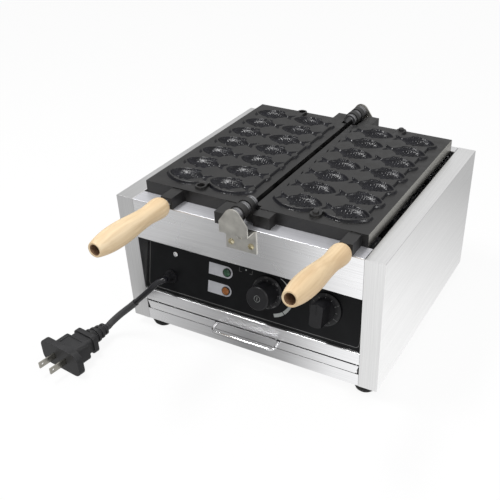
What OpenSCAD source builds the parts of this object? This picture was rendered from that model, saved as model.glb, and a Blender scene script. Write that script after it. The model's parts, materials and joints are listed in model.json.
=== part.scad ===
// Countertop fish-waffle maker: a steel casing with two cast moulds that fold over one
// shared hinge line, a tilted control panel, a drip tray and a mains lead.
// Millimetres, +Z up, the control panel faces -Y, the hinge line runs along Y at X = 0.

/* [Casing] */
// Width over the two side casings
body_w = 430; // [360:5:520]
// Depth of the side casings
body_d = 395; // [330:5:475]
// Height of the side casings without the feet
body_h = 217; // [205:1:262]
// Thickness of each hollow side casing
side_w = 29.5; // [24:0.5:36]
// Thickness of the steel sheet
sheet_t = 1.2; // [1:0.1:1.6]
// Height of the front cover's face
cover_h = 65.2; // [60:0.2:70]
// Height of the rubber feet
foot_h = 16; // [12:1:20]
// Diameter of the rubber feet
foot_d = 36; // [30:1:40]

/* [Moulds] */
// Thickness of a mould up to its flat rim
mould_t = 19; // [18:0.5:22]
// Height of the wavy raised field above the rim
field_h = 4; // [3:0.5:5]
// Gap between the two raised fields when a mould is folded shut
shut_gap = 0.6; // [0.4:0.1:1]
// Number of fish along each column
rows = 7; // [5:1:7]
// Depth of a fish cavity
fish_deep = 8.5; // [7:0.5:9]
// Depth of the flat step round a fish, with its fins and tail
fin_deep = 2.4; // [2:0.2:3]

/* [Hinge] */
// Diameter of the hinge pins
pin_d = 8; // [6:0.5:9]
// Diameter of the hinge knuckles
knuckle_d = 24; // [22:0.5:25]
// Width of the stamped hinge bracket
bracket_w = 49; // [44:1:56]

/* [Handles] */
// Length of a wooden grip
grip_len = 148; // [120:1:170]
// Largest diameter of a wooden grip
grip_d = 33; // [28:0.5:35]
// Upward tilt of the left grip
tilt_left = 2; // [0:0.5:4]
// Upward tilt of the right grip
tilt_right = 6.5; // [4:0.5:8]
// Distance of the left grip from the hinge line
grip_left_x = 122; // [115:1:124]
// Distance of the right grip from the hinge line
grip_right_x = 159.3; // [158:0.1:162]

/* [Controls] */
// Backward tilt of the control panel
panel_tilt = 12.95; // [10:0.05:14]
// Diameter of the dial skirt of each knob
dial_d = 50; // [44:1:54]
// Height of each knob above the panel
knob_h = 33; // [28:1:37]
// Width of the timer knob's bar grip
bar_w = 19; // [14:0.5:22]
// Diameter of the indicator lenses
lens_d = 11.6; // [9:0.2:12]

/* [Drip tray] */
// Height of the tray's front plate
tray_front_h = 14.4; // [12:0.2:16]
// Diameter of the wire of the tray's pull
pull_d = 5.6; // [4:0.2:6]
// How far the pull stands out from the tray
pull_reach = 18; // [16:1:26]

/* [Lead] */
// Diameter of the mains lead
cord_d = 9; // [7:0.5:10]

/* [Hidden] */
$fn = 64;

steel = [0.78, 0.79, 0.80];
dark_steel = [0.45, 0.46, 0.48];
black = [0.12, 0.12, 0.13];
cast_grey = [0.24, 0.24, 0.25];
nickel = [0.60, 0.59, 0.54];
timber = [0.87, 0.76, 0.58];

// Levels
side_y = body_d / 2;
inner_x = body_w / 2 - side_w;
z_base = foot_h;
z_deck = foot_h + body_h;
z_sill = z_base + 21.4;
z_tray = z_base + 22.3;
z_strip = z_base + 38.4;
z_ledge = z_base + 59.4;
z_cover = z_deck - cover_h;
fit_x = inner_x - 0.3;

// Radial clearances, and the radii of what sits in a hole of the sheets
tight_gap = 0.02;
fit_gap = 0.05;
rear_screw_r = 1.55;
bracket_screw_r = 1.65;
panel_screw_r = 2;
foot_screw_r = 2.5;
bush_r = 5;
lamp_r = 5.9;
gland_r = cord_d / 2 + 3.5;
tube_r = 4;
axis_z = z_deck + 0.3 + mould_t + field_h + shut_gap / 2;

// Control panel plane, its lower edge stands on the strip
panel_y = -side_y + 4.8;
panel_t = 1.5;
panel_len = (z_cover - 0.5 - z_ledge) / cos(panel_tilt);
// The cover folds back over the panel's upper edge, and the moulds rest on its ledge
fold_d = panel_y + side_y + panel_len * sin(panel_tilt) + 1.1;
ledge_d = fold_d + 2.5;
mould_seat = 1.5;
knob_row = 0.53 * panel_len;
thermostat_x = 0.162 * inner_x;
timer_x = 0.668 * inner_x;
lamp_x = -0.2183 * inner_x;
lamp_low = 0.342 * panel_len;
lamp_high = 0.656 * panel_len;
screw_x = -0.72 * inner_x;
screw_row = 0.715 * panel_len;
gland_x = -0.755 * inner_x;
gland_row = 0.31 * panel_len;
shaft_r = 3;

// Moulds
mould_gap = 9;
mould_side = inner_x - 7;
mould_w = mould_side - mould_gap / 2;
mould_y0 = -side_y + ledge_d - mould_seat;
mould_y1 = side_y - 19.5;
mould_len = mould_y1 - mould_y0;
mould_z0 = z_deck + 0.3;
rim_z = mould_z0 + mould_t;
field_z = rim_z + field_h;
pitch_x = 0.408 * mould_w;
pitch_y = 0.1272 * mould_len * 7 / rows;
fish_x = mould_gap / 2 + 0.2925 * mould_w;
fish_y0 = (mould_y0 + mould_y1) / 2 - 1.5 - (rows - 1) / 2 * pitch_y;
fish_l = 0.96 * pitch_x;
fish_b = 0.33 * pitch_y;
pocket_z = field_z - fish_deep - 3.4;
peg_x = 0.52 * mould_side;
peg_ys = [mould_y0 + 17, mould_y1 - 9];
peg_r = 4.6;
peg_play = 1.2;

// A fish body is a spindle whose axis floats above the field, so it cuts a shallow almond
body_half = 0.385 * fish_l;
body_shift = 0.115 * fish_l;
belly_deep = fish_deep - fin_deep;
spindle_c = (fish_b * fish_b / belly_deep - belly_deep) / 2;
spindle_max = spindle_c + belly_deep;
arc_r = (body_half * body_half + belly_deep * belly_deep) / (2 * belly_deep);

// Hinge stations along Y, measured outwards from the mould's end
ear_y = side_y + 18.5;
ear_t = 2;
knuckle_r = knuckle_d / 2;
pin_r = pin_d / 2;
bore_r = pin_r + fit_gap;
pad_gap_r = knuckle_r + 2;
lug_out_x = 38;

// Handles
lug_front = side_y + 1.5;
rod_r = 4;
rod_z = mould_z0 + 8.6;
nut_len = 8;
nut_r = 7.8;
end_hole_r = 7.2;
end_hole = 26;

// Radius of a turned grip along its length: a bulb near the lug, a waist, then a full belly
bulb_t = 0.08;
waist_t = 0.27;
belly_t = 0.68;
function grip_r(t) = grip_d / 2 * (
    t < bulb_t ? 0.92 - 0.26 * pow(1 - t / bulb_t, 2.4) :
    t < waist_t ? 0.8 + 0.12 * pow(cos(90 * (t - bulb_t) / (waist_t - bulb_t)), 2) :
    t < belly_t ? 0.8 + 0.2 * pow(sin(90 * (t - waist_t) / (belly_t - waist_t)), 2) :
    1 - 0.36 * pow((t - belly_t) / (1 - belly_t), 2.4));

// Whole object centred front to back: the grip ends and the rear bracket are the outermost
function reach_of(tilt) = lug_front + (nut_len + grip_len) * cos(tilt) + grip_r(1) * sin(tilt);
grip_end_y = max(reach_of(tilt_left), reach_of(tilt_right));
rear_end_y = ear_y + ear_t;
shift_y = (grip_end_y - rear_end_y) / 2;

// Lead route and plug, measured from the gland's X, the casing's front face and the table
plug_from = [-87.95, -59.5, 21];
plug_turn = -97.5;
route_from = [[-7.95, -14.5, 105], [-12.95, -20.5, 99], [-23.95, -24.5, 87], [-37.95, -27.5, 72.5],
              [-50.95, -29.5, 59], [-62.95, -32.5, 47.5], [-72.95, -37.5, 38], [-80.45, -43.5, 30],
              [-84.95, -50, 24.5]];
lead_at = [gland_x, -side_y, 0];
plug_at = lead_at + plug_from;
route = [for (p = route_from) lead_at + p];

module in_place() translate([0, shift_y, 0]) children();

// Panel coordinates: X across, Y up the slope, Z out of the panel
module on_panel(x, h) translate([x, panel_y, z_ledge]) rotate([90 - panel_tilt, 0, 0])
    translate([0, h, 0]) children();

module rounded_rect(w, h, r) {
    translate([r, 0]) square([w - 2 * r, h]);
    translate([0, r]) square([w, h - 2 * r]);
    for (x = [r, w - r], y = [r, h - r]) translate([x, y]) circle(r = r, $fn = 32);
}

// Extrudes a profile drawn as [depth, height] along X, centred on X = 0
module along_x(len) translate([-len / 2, 0, 0]) rotate([90, 0, 90]) linear_extrude(len) children();

module ring(r_out, r_in, h) difference() {
    cylinder(r = r_out, h = h);
    translate([0, 0, -1]) cylinder(r = r_in, h = h + 2);
}

// A cylinder along +Y
module along_y(r, len, fn = 64) rotate([-90, 0, 0]) cylinder(r = r, h = len, $fn = fn);

// Hollow side casing: five folded faces and a slotted bottom
module side_casing() difference() {
    translate([inner_x, side_y, z_base]) rotate([90, 0, 0]) linear_extrude(body_d)
        rounded_rect(side_w, body_h, 1.2);
    translate([inner_x + sheet_t, -side_y + sheet_t, z_base + sheet_t])
        cube([side_w - 2 * sheet_t, body_d - 2 * sheet_t, body_h - 2 * sheet_t]);
    for (y = [-0.27, 0, 0.27] * body_d)
        translate([inner_x + side_w / 2 - 4, y - 40, z_base - 1]) cube([8, 80, sheet_t + 2]);
}

module side_casing_right() color(steel) in_place() difference() {
    side_casing();
    for (y = [-1, 1] * foot_y) translate([foot_right_x, y, z_base - 1])
        cylinder(r = foot_screw_r + 2 * fit_gap, h = 4, $fn = 32);
}

module side_casing_left() color(steel) in_place() mirror([1, 0, 0]) side_casing();

// Folded cover sheet: face, top ledge, inner flange and bottom return, hollow behind
module cover_profile(ledge, inner, back) difference() {
    rounded_rect(ledge, cover_h, 1.6);
    translate([sheet_t, sheet_t]) square([ledge - 2 * sheet_t, cover_h - 2 * sheet_t]);
    translate([back, -1]) square([ledge, cover_h - inner + 1]);
}

module front_cover() color(steel) in_place() difference() {
    translate([0, -side_y, z_cover]) along_x(2 * fit_x) cover_profile(ledge_d, 12, fold_d);
    for (x = [-16, 16]) translate([x, -side_y - 1, z_deck - 26]) along_y(bracket_screw_r + fit_gap, 5, 32);
}

// Rear cover: the same fold, drawn down outside the base pan's upstand
module rear_cover() color(steel) in_place() difference() {
    union() {
        mirror([0, 1, 0]) translate([0, -side_y, z_cover]) along_x(2 * fit_x)
            cover_profile(19.2, 12, sheet_t);
        translate([-fit_x, side_y - sheet_t, z_base + 1]) cube([2 * fit_x, sheet_t, z_cover - z_base + 3]);
    }
    for (x = [-16, 16]) translate([x, side_y - 4, z_deck - 26]) along_y(bracket_screw_r + fit_gap, 5, 32);
    rear_screw_places() translate([0, -4, 0]) along_y(rear_screw_r + fit_gap, 6, 32);
}

module rear_screw_places() for (x = [-0.92, 0, 0.92] * inner_x) translate([x, side_y, z_sill + 8]) children();

module rear_screws() color(steel) in_place() rear_screw_places() {
    translate([0, -8, 0]) along_y(rear_screw_r, 8.5, 32);
    difference() {
        along_y(3.2, 1.8, 32);
        translate([-0.4, 1.1, -4]) cube([0.8, 2, 8]);
        translate([-4, 1.1, -0.4]) cube([8, 2, 0.8]);
    }
}

// Base pan: floor, front sill and rear upstand in one folded sheet
module base_pan() color(steel) in_place() difference() {
    translate([0, -side_y, z_base]) along_x(2 * fit_x) difference() {
        rounded_rect(body_d - sheet_t, z_sill - z_base + 14, 1.2);
        translate([sheet_t, sheet_t]) square([body_d - 3 * sheet_t, 60]);
        translate([-1, z_sill - z_base]) square([4, 60]);
    }
    for (y = [-1, 1] * foot_y) translate([-foot_left_x, y, z_base - 1])
        cylinder(r = foot_screw_r + 2 * fit_gap, h = 4, $fn = 32);
    rear_screw_places() translate([0, -4, 0]) along_y(rear_screw_r + fit_gap, 6, 32);
}

foot_y = side_y - 20;
foot_left_x = 0.93 * inner_x;
foot_right_x = inner_x + 4.5;

// Strip above the tray: a channel whose top carries the control panel
module front_strip() color(steel) in_place() difference() {
    translate([0, -side_y, z_strip]) along_x(2 * fit_x) difference() {
        rounded_rect(16, z_ledge - z_strip, 1.4);
        translate([sheet_t, sheet_t]) square([20, z_ledge - z_strip - 2 * sheet_t]);
    }
    for (x = [-150, 150]) translate([x, -side_y + 9, z_strip - 1]) cylinder(r = 2, h = 4, $fn = 32);
}

module control_panel() color(black) in_place() difference() {
    on_panel(0, 0) translate([-fit_x, 0.4, -panel_t]) cube([2 * fit_x, panel_len - 0.4, panel_t]);
    for (x = [thermostat_x, timer_x]) on_panel(x, knob_row)
        translate([0, 0, -3]) cylinder(r = bush_r + fit_gap, h = 6);
    for (h = [lamp_low, lamp_high]) on_panel(lamp_x, h)
        translate([0, 0, -3]) cylinder(r = lamp_r + fit_gap, h = 6);
    on_panel(screw_x, screw_row) translate([0, 0, -3])
        cylinder(r = panel_screw_r + fit_gap, h = 6, $fn = 32);
    on_panel(gland_x, gland_row) translate([0, 0, -3]) cylinder(r = gland_r + fit_gap, h = 6);
}

module panel_screw() color(steel) in_place() on_panel(screw_x, screw_row) {
    translate([0, 0, -7]) cylinder(r = panel_screw_r, h = 7.5, $fn = 32);
    difference() {
        intersection() {
            cylinder(r = 4, h = 2.4, $fn = 48);
            translate([0, 0, -4.4]) sphere(r = 6.6, $fn = 64);
        }
        for (a = [0, 90]) rotate(a + 20) translate([-2.6, -0.5, 1.2]) cube([5.2, 1, 3]);
    }
}

// Bare label plates, each ending in a half circle round its lamp
module label_plates() color([0.72, 0.73, 0.74]) in_place() for (h = [lamp_low, lamp_high])
    on_panel(lamp_x, h) difference() {
        union() {
            cylinder(r = 9.4, h = 0.4);
            translate([-32, -9.4, 0]) cube([32, 18.8, 0.4]);
        }
        translate([0, 0, -1]) cylinder(r = lamp_r + 2 * fit_gap, h = 3);
    }

module lamp_housings() color(black) in_place() for (h = [lamp_low, lamp_high])
    on_panel(lamp_x, h) difference() {
    union() {
        translate([0, 0, -24]) cylinder(r = lamp_r, h = 25);
        translate([0, 0, 0.4]) cylinder(r = lamp_r + 1, h = 1.4);
        for (x = [-2.4, 2.4]) translate([x - 0.4, -1.6, -31]) cube([0.8, 3.2, 8]);
    }
    translate([0, 0, 0.2]) cylinder(r = lens_d / 2 + tight_gap, h = 4);
}

// Lens with a shallow domed top
module lens(h) on_panel(lamp_x, h) intersection() {
    translate([0, 0, 0.2]) cylinder(r = lens_d / 2, h = 5);
    translate([0, 0, -9.2]) sphere(r = 12.8, $fn = 96);
}

module green_lens() color([0.1, 0.42, 0.22]) in_place() lens(lamp_high);

module orange_lens() color([0.82, 0.42, 0.1]) in_place() lens(lamp_low);

// Switch body behind the panel, with a bush through the panel and a flatted shaft
module control_body(w, deep) {
    difference() {
        translate([-w / 2, -w / 2, -panel_t - deep]) cube([w, w, deep]);
        for (a = [0:90:270]) rotate(a) translate([w / 2, w / 2, -panel_t - deep - 1]) rotate(45)
            translate([-4, -4, 0]) cube([8, 8, deep + 2]);
    }
    translate([0, 0, -panel_t - 0.5]) cylinder(r = bush_r, h = panel_t + 1.5);
    cylinder(r = shaft_r, h = 17);
    for (x = [-0.32, 0.32] * w, y = [-0.2, 0.2] * w)
        translate([x - 0.4, y - 3, -panel_t - deep - 8]) cube([0.8, 6, 9]);
}

module thermostat_body() color(dark_steel) in_place() on_panel(thermostat_x, knob_row) control_body(36, 26);

module timer_body() color(dark_steel) in_place() on_panel(timer_x, knob_row) control_body(44, 34);

// Dial skirt with a sloping rim, hollow below, with raised tick marks
module dial_skirt(ticks, first, step) {
    difference() {
        union() {
            translate([0, 0, 1.6]) cylinder(r = dial_d / 2, h = 1.6);
            translate([0, 0, 3.2]) cylinder(r1 = dial_d / 2, r2 = dial_d / 2 - 3.5, h = 2.2);
        }
        translate([0, 0, 0.6]) cylinder(r = dial_d / 2 - 5, h = 2.4);
    }
    for (k = [0:ticks - 1]) rotate(first + step * k) translate([dial_d / 2 - 7.6, -0.5, 5])
        cube([3.6, 1, 0.7]);
}

// Round thermostat cap on its dial, with a small round pointer mark
module thermostat_knob() color(black) in_place() on_panel(thermostat_x, knob_row) difference() {
    union() {
        dial_skirt(11, -60, 30);
        translate([0, 0, 1.6]) cylinder(r1 = 18.8, r2 = 18, h = knob_h - 3);
        translate([0, 0, knob_h - 1.4]) cylinder(r1 = 18, r2 = 16.6, h = 1.4);
    }
    cylinder(r = shaft_r + fit_gap, h = 18);
    translate([0, 0, knob_h - 0.5]) ring(5.2, 4.3, 2);
    translate([-0.5, -3.2, knob_h - 0.5]) cube([1, 6.4, 2]);
}

// Timer knob: the same dial under a straight bar grip
module timer_knob() color(black) in_place() on_panel(timer_x, knob_row) difference() {
    union() {
        dial_skirt(12, 0, 30);
        translate([0, 0, 1.6]) cylinder(r1 = 17, r2 = 16, h = 5.4);
        intersection() {
            translate([0, 0, 1.6]) cylinder(r1 = 18.5, r2 = 17.5, h = knob_h - 1.6);
            translate([-bar_w / 2, -20, 0]) cube([bar_w, 40, knob_h]);
        }
    }
    cylinder(r = shaft_r + fit_gap, h = 18);
    translate([-0.8, 3, knob_h - 0.5]) cube([1.6, 15, 2]);
}

// Partition between the hot chamber and the wiring: wall, shelf and lower wall
module heat_shield() color(steel) in_place() difference() {
    translate([0, -side_y, 0]) along_x(2 * fit_x) polygon([[ledge_d, z_deck - 2], [ledge_d + 1, z_deck - 2],
        [ledge_d + 1, z_cover + 3], [72.5, z_cover + 3], [72.5, z_strip + 24], [71.5, z_strip + 24],
        [71.5, z_cover + 2], [ledge_d, z_cover + 2]]);
    for (s = [-1, 1], x = [-60, 60]) translate([s * element_x + x, -side_y + ledge_d - 1.5, element_z])
        along_y(tube_r + fit_gap, 4, 48);
}

element_x = mould_gap / 2 + mould_w / 2;
element_z = z_deck - 18;

// Two flat bars that carry the heating tubes, folded up at the casing walls
module element_rails() color(dark_steel) in_place() for (y = [-0.22, 0.25] * body_d) {
    translate([-fit_x, y - 8, element_z - 7.2]) cube([2 * fit_x, 16, 3]);
    for (s = [-1, 1]) translate([s * (fit_x - 1) - 1, y - 8, element_z - 24]) cube([2, 16, 18]);
}

// Serpentine heating tube: four runs, three bends, both ends through the shield
module heating_tube() {
    y_front = -0.34 * body_d;
    y_back = 0.38 * body_d;
    for (x = [-60, 60]) translate([x, -side_y + 14, 0]) along_y(tube_r, y_back + side_y - 14, 48);
    for (x = [-20, 20]) translate([x, y_front, 0]) along_y(tube_r, y_back - y_front, 48);
    for (x = [-40, 40]) translate([x, y_back, 0]) tube_bend();
    translate([0, y_front, 0]) rotate(180) tube_bend();
    for (x = [-60, 60]) translate([x, -side_y + 8, 0]) along_y(1.6, 7, 32);
}

module tube_bend() rotate_extrude(angle = 180) translate([20, 0]) circle(r = tube_r, $fn = 48);

module heating_element_left() color(dark_steel) in_place()
    translate([-element_x, 0, element_z]) heating_tube();

module heating_element_right() color(dark_steel) in_place()
    translate([element_x, 0, element_z]) heating_tube();

// Terminal block on the lower wall of the shield
module terminal_block() color([0.9, 0.9, 0.86]) in_place()
    translate([gland_x + 12, -side_y + 55.5, z_ledge + 18]) difference() {
    cube([62, 16, 14]);
    for (k = [0:4]) {
        translate([7 + 12 * k, 7, -1]) cylinder(r = 1.8, h = 16, $fn = 32);
        translate([7 + 12 * k, -1, 7]) along_y(3, 6, 32);
        translate([12.4 + 12 * k, -1, 9]) cube([1.2, 18, 6]);
    }
}

// Runners screwed to the casing walls, the tray slides on their ledges
module tray_runners() color(steel) in_place() for (s = [0, 1]) mirror([s, 0, 0]) {
    translate([inner_x - 1.2, -side_y + 4, z_tray - 8]) cube([1.2, body_d - 24, 22]);
    translate([inner_x - 12, -side_y + 4, z_tray - 1.4]) cube([11.4, body_d - 24, 1.2]);
}

// Shallow tray behind a front plate whose lower corners are cut back
module drip_tray() color(steel) in_place() {
    front_half = inner_x - 0.6;
    pan_half = inner_x - 3;
    difference() {
        union() {
            translate([0, -side_y + sheet_t, z_tray]) rotate([90, 0, 0]) linear_extrude(sheet_t)
                polygon([[-front_half + 4.6, 0], [front_half - 4.6, 0], [front_half, tray_front_h],
                    [-front_half, tray_front_h]]);
            translate([-pan_half, -side_y + sheet_t, z_tray]) difference() {
                cube([2 * pan_half, body_d - 32, 12.6]);
                translate([1, 1, 1]) cube([2 * pan_half - 2, body_d - 34, 20]);
            }
        }
        for (s = [-1, 1]) on_pull() translate([s * pull_half, -4, 0]) {
            along_y(notch_r, 12, 48);
            translate([-notch_r, 0, 0]) cube([2 * notch_r, 12, 9]);
        }
    }
}

pull_half = 54;
notch_r = pull_d / 2 + fit_gap;
pull_z = z_tray + tray_front_h - pull_d / 2 - 0.4;

module on_pull() translate([0, -side_y, pull_z]) rotate([10, 0, 0]) children();

// Bent wire pull: two legs in notches of the tray's front, turned into a cross bar
module tray_pull() color(steel) in_place() on_pull() {
    r = pull_d / 2;
    bend = 9;
    for (s = [-1, 1]) translate([s * pull_half, bend - pull_reach, 0])
        along_y(r, pull_reach - bend + 3.6, 48);
    translate([bend - pull_half, -pull_reach, 0]) rotate([0, 90, 0])
        cylinder(r = r, h = 2 * (pull_half - bend), $fn = 48);
    for (s = [[1, -90], [-1, 180]]) translate([s[0] * (pull_half - bend), bend - pull_reach, 0]) rotate(s[1])
        rotate_extrude(angle = 90) translate([bend, 0]) circle(r = r, $fn = 48);
}

// Stamped bracket: screwed plate, a shelf at deck level on one rib, and an ear with sloping flanks
module hinge_bracket() {
    half = bracket_w / 2;
    ear_half = half - 2;
    ear_r = knuckle_r + 1;
    shelf_z = z_deck - 2.4;
    drop = 9;
    flank = acos(ear_r / norm([ear_half, drop])) - atan2(drop, ear_half);
    difference() {
        translate([-half, -side_y - ear_t, z_deck - 37]) cube([bracket_w, ear_t, 36.6]);
        for (x = [-16, 16]) translate([x, -side_y - 3, z_deck - 26])
            along_y(bracket_screw_r + fit_gap, 5, 32);
    }
    translate([-ear_half, -ear_y - ear_t, shelf_z]) cube([2 * ear_half, ear_y - side_y + ear_t, ear_t]);
    translate([1.5, -side_y - ear_t, shelf_z]) rotate([90, 0, -90]) linear_extrude(6)
        polygon([[-0.5, 0.5], [11, 0.5], [11, -0.6], [1.6, -15], [-0.5, -15]]);
    translate([0, -ear_y, axis_z]) rotate([90, 0, 0]) linear_extrude(ear_t) {
        circle(r = ear_r);
        polygon([[-ear_half, shelf_z - axis_z], [ear_half, shelf_z - axis_z], [ear_half, -drop],
            ear_r * [cos(flank), sin(flank)], ear_r * [-cos(flank), sin(flank)], [-ear_half, -drop]]);
    }
}

module hinge_brackets() color(nickel) in_place() for (s = [0, 1]) mirror([0, s, 0]) hinge_bracket();

// Pan head screws with a cross slot, front and rear
module bracket_screws() color([0.72, 0.66, 0.48]) in_place() for (s = [0, 1], x = [-16, 16])
    mirror([0, s, 0]) translate([x, -side_y - ear_t, z_deck - 26]) {
        along_y(bracket_screw_r, 9, 32);
        difference() {
            intersection() {
                translate([0, -2.6, 0]) along_y(4.6, 2.6, 48);
                translate([0, 5, 0]) sphere(r = 7.6, $fn = 64);
            }
            for (a = [0, 90]) rotate([0, a + 25, 0]) translate([-3, -4, -0.6]) cube([6, 2.8, 1.2]);
        }
    }

// One pin at each end, with a retaining head at its inner end
module hinge_pins() color(steel) in_place() for (s = [0, 1]) mirror([0, s, 0])
    translate([0, -ear_y, axis_z]) {
        along_y(pin_r, pin_len, 48);
        translate([0, pin_len - 1.2, 0]) along_y(pin_r + 2.2, 1.2, 48);
    }

pin_len = 51.6;

// Station lengths outwards from the mould's end, shared by collars and knuckles
outer_knuckle = [ear_y - 23, ear_y - 12];
inner_knuckle = [ear_y - 42, ear_y - 32];

// Loose spacing collars with a groove, between the ear and the knuckles
module hinge_collars() color(steel) in_place() for (s = [0, 1]) mirror([0, s, 0])
    for (c = [[ear_y - 11.8, 11.6], [ear_y - 31.8, 8.6], [ear_y - 50.2, 8]])
    translate([0, -c[0] - c[1], axis_z]) difference() {
        along_y(knuckle_r - 1.5, c[1]);
        translate([0, -1, 0]) along_y(bore_r, c[1] + 2, 48);
        translate([0, c[1] / 2 - 0.6, 0]) difference() {
            along_y(knuckle_r + 2, 1.2);
            along_y(knuckle_r - 2.3, 1.2);
        }
    }

// Spindle that cuts a fish body, at depth offset e from the cavity's own surface
module fish_spindle(e) intersection() {
    translate([body_shift, 0, spindle_c - fin_deep]) rotate([0, 90, 0]) rotate([0, 0, 90])
        rotate_extrude() intersection() {
            translate([spindle_max - arc_r, 0]) circle(r = arc_r - e, $fn = 96);
            translate([0, -100]) square([200, 200]);
        }
    translate([-fish_l, -fish_l, -fish_deep - 1]) cube([2 * fish_l, 2 * fish_l, belly_deep + 1.2]);
}

// Cutter for one fish: head at +X, back at +Y, the field's plane at Z = 0
module fish_cutter() {
    eye_x = body_shift + 0.2 * fish_l;
    difference() {
        fish_spindle(0);
        translate([eye_x, 0.14 * fish_b, -20])
            cylinder(r = 0.078 * fish_l, h = 20 - fish_deep + 3.3, $fn = 32);
        translate([eye_x - 1, 0, -20]) difference() {
            cylinder(r = 0.19 * fish_l, h = 20 - fish_deep + 2.6, $fn = 48);
            cylinder(r = 0.165 * fish_l, h = 20, $fn = 48);
            translate([-3, -20, 0]) cube([40, 40, 20]);
        }
    }
    translate([eye_x, 0.14 * fish_b, -fish_deep + 2.1]) ring(0.056 * fish_l, 0.03 * fish_l, 3);
    translate([0, 0, -fin_deep]) linear_extrude(fin_deep + 1) fish_outline();
}

// A lens with a deeper curve on one side, drawn between its two tips
function bow_r(half, rise) = (half * half + rise * rise) / (2 * rise);
module lens_shape(half, up, down) intersection() {
    translate([0, up - bow_r(half, up)]) circle(r = bow_r(half, up), $fn = 128);
    translate([0, bow_r(half, down) - down]) circle(r = bow_r(half, down), $fn = 128);
}

// Outline of the whole fish: arched body, forked tail, back fin and two belly fins
module fish_outline() {
    tail = -fish_l / 2;
    translate([body_shift, 0]) lens_shape(body_half + 1.4, 1.13 * fish_b, 1.04 * fish_b);
    polygon([[tail + 0.34 * fish_l, 4.6], [tail + 0.19 * fish_l, 3.6], [tail, 0.8 * fish_b],
        [tail + 0.085 * fish_l, 1], [tail + 0.03 * fish_l, -0.62 * fish_b], [tail + 0.18 * fish_l, -2.6],
        [tail + 0.34 * fish_l, -4.4]]);
    polygon([[0.24 * fish_l, 0.8 * fish_b], [0.06 * fish_l, 1.36 * fish_b], [-0.11 * fish_l, 1.22 * fish_b],
        [-0.13 * fish_l, 0.7 * fish_b]]);
    polygon([[0.2 * fish_l, -0.8 * fish_b], [0.09 * fish_l, -1.28 * fish_b], [0.03 * fish_l, -1.0 * fish_b],
        [-0.08 * fish_l, -1.2 * fish_b], [-0.13 * fish_l, -0.6 * fish_b]]);
}

// One lobe of the raised field round a fish, with sloping sides: two crossing cones
module field_lobe() {
    reach_x = fish_l / 2 + 7;
    reach_y = 1.55 * fish_b;
    big = bow_r(reach_x, reach_y);
    intersection() {
        for_side(1, big - reach_y, big);
        for_side(-1, big - reach_y, big);
        translate([0, 0, -1]) cylinder(r = reach_x - 1.5, h = field_h + 1, $fn = 64);
    }
}

module for_side(s, offset_y, big) translate([0, s * offset_y, -1])
    cylinder(r1 = big + 1.2, r2 = big - 0.6, h = field_h + 1, $fn = 128);

// Every fish of a mould, two columns of rows
module fish_places() for (c = [0, 1], k = [0:rows - 1])
    translate([fish_x + c * pitch_x, fish_y0 + k * pitch_y, 0]) children();

// Flat mould casting with a wavy raised field, fish cavities and a ribbed open underside
module mould_plate() difference() {
    union() {
        translate([mould_gap / 2, mould_y0, mould_z0]) cube([mould_w, mould_len, mould_t]);
        fish_places() translate([0, 0, rim_z]) field_lobe();
        translate([fish_x - 0.52 * fish_l, fish_y0 - 0.1 * pitch_y, rim_z - 1])
            cube([pitch_x + 0.96 * fish_l, (rows - 0.8) * pitch_y, field_h + 1]);
        translate([peg_x - 7, peg_ys[0], rim_z - 1]) cube([14, peg_ys[1] - peg_ys[0], field_h + 1]);
        for (y = peg_ys) translate([peg_x, y, rim_z - 1]) cylinder(r1 = 9, r2 = 8.4, h = field_h + 1);
    }
    fish_places() translate([0, 0, field_z]) fish_cutter();
    translate([mould_gap / 2 + 7, mould_y0 + 7, mould_z0 - 1]) for (c = [0, 1], r = [0, 1])
        translate([c * (mould_w - 10) / 2, r * (mould_len - 10) / 2, 0])
            cube([(mould_w - 18) / 2, (mould_len - 18) / 2, pocket_z - mould_z0 + 1]);
}

// Hinge pad and knuckle on side +X: y0 to y1 is the pad, k the knuckle's station
module hinge_pad(y0, y1, k, side) {
    translate([pad_gap_r, y0, mould_z0]) cube([side - pad_gap_r, y1 - y0, mould_t - 1]);
    difference() {
        union() {
            translate([0, k[0], axis_z]) along_y(knuckle_r, k[1] - k[0]);
            translate([0, k[0], mould_z0 + 3]) cube([pad_gap_r + 1, k[1] - k[0], mould_t - 4]);
        }
        translate([-30, k[0] - 1, mould_z0])
            cube([30 - 0.5 * knuckle_r, k[1] - k[0] + 2, axis_z - mould_z0 - 4]);
    }
}

module pin_bore() translate([0, -ear_y - 10, axis_z]) along_y(bore_r, 2 * ear_y + 20, 48);

// Square lug that takes the handle rod
module handle_lug(x, tilt) difference() {
    translate([x - 9.3, -lug_front, mould_z0]) cube([18.6, mould_y0 + lug_front + 1, mould_t - 1.6]);
    translate([x, -lug_front, rod_z]) rotate([-tilt, 0, 0]) translate([0, -1, 0])
        along_y(rod_r + tight_gap, 17, 48);
}

module barrel_clearance() translate([0, -ear_y, axis_z]) along_y(knuckle_r + 0.5, 2 * ear_y);

// Right mould: inner knuckle at the front, outer knuckle at the rear, two locating pegs
module mould_right() color(cast_grey) in_place() difference() {
    union() {
        difference() {
            union() {
                mould_plate();
                for (y = peg_ys) translate([peg_x, y, field_z - 1]) {
                    cylinder(r = peg_r, h = 3, $fn = 32);
                    translate([0, 0, 3]) cylinder(r1 = peg_r, r2 = peg_r - 0.8, h = 1.6, $fn = 32);
                }
                translate([pad_gap_r, -ear_y + 28, mould_z0]) cube([40 - pad_gap_r, 30, mould_t - 1]);
            }
            barrel_zone();
        }
        hinge_pad(-ear_y + 28, mould_y0 + 1, [-inner_knuckle[1], -inner_knuckle[0]], 40);
        hinge_pad(mould_y1 - 1, ear_y - 2.4, outer_knuckle, 35);
        handle_lug(grip_right_x, tilt_right);
    }
    pin_bore();
}

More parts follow.
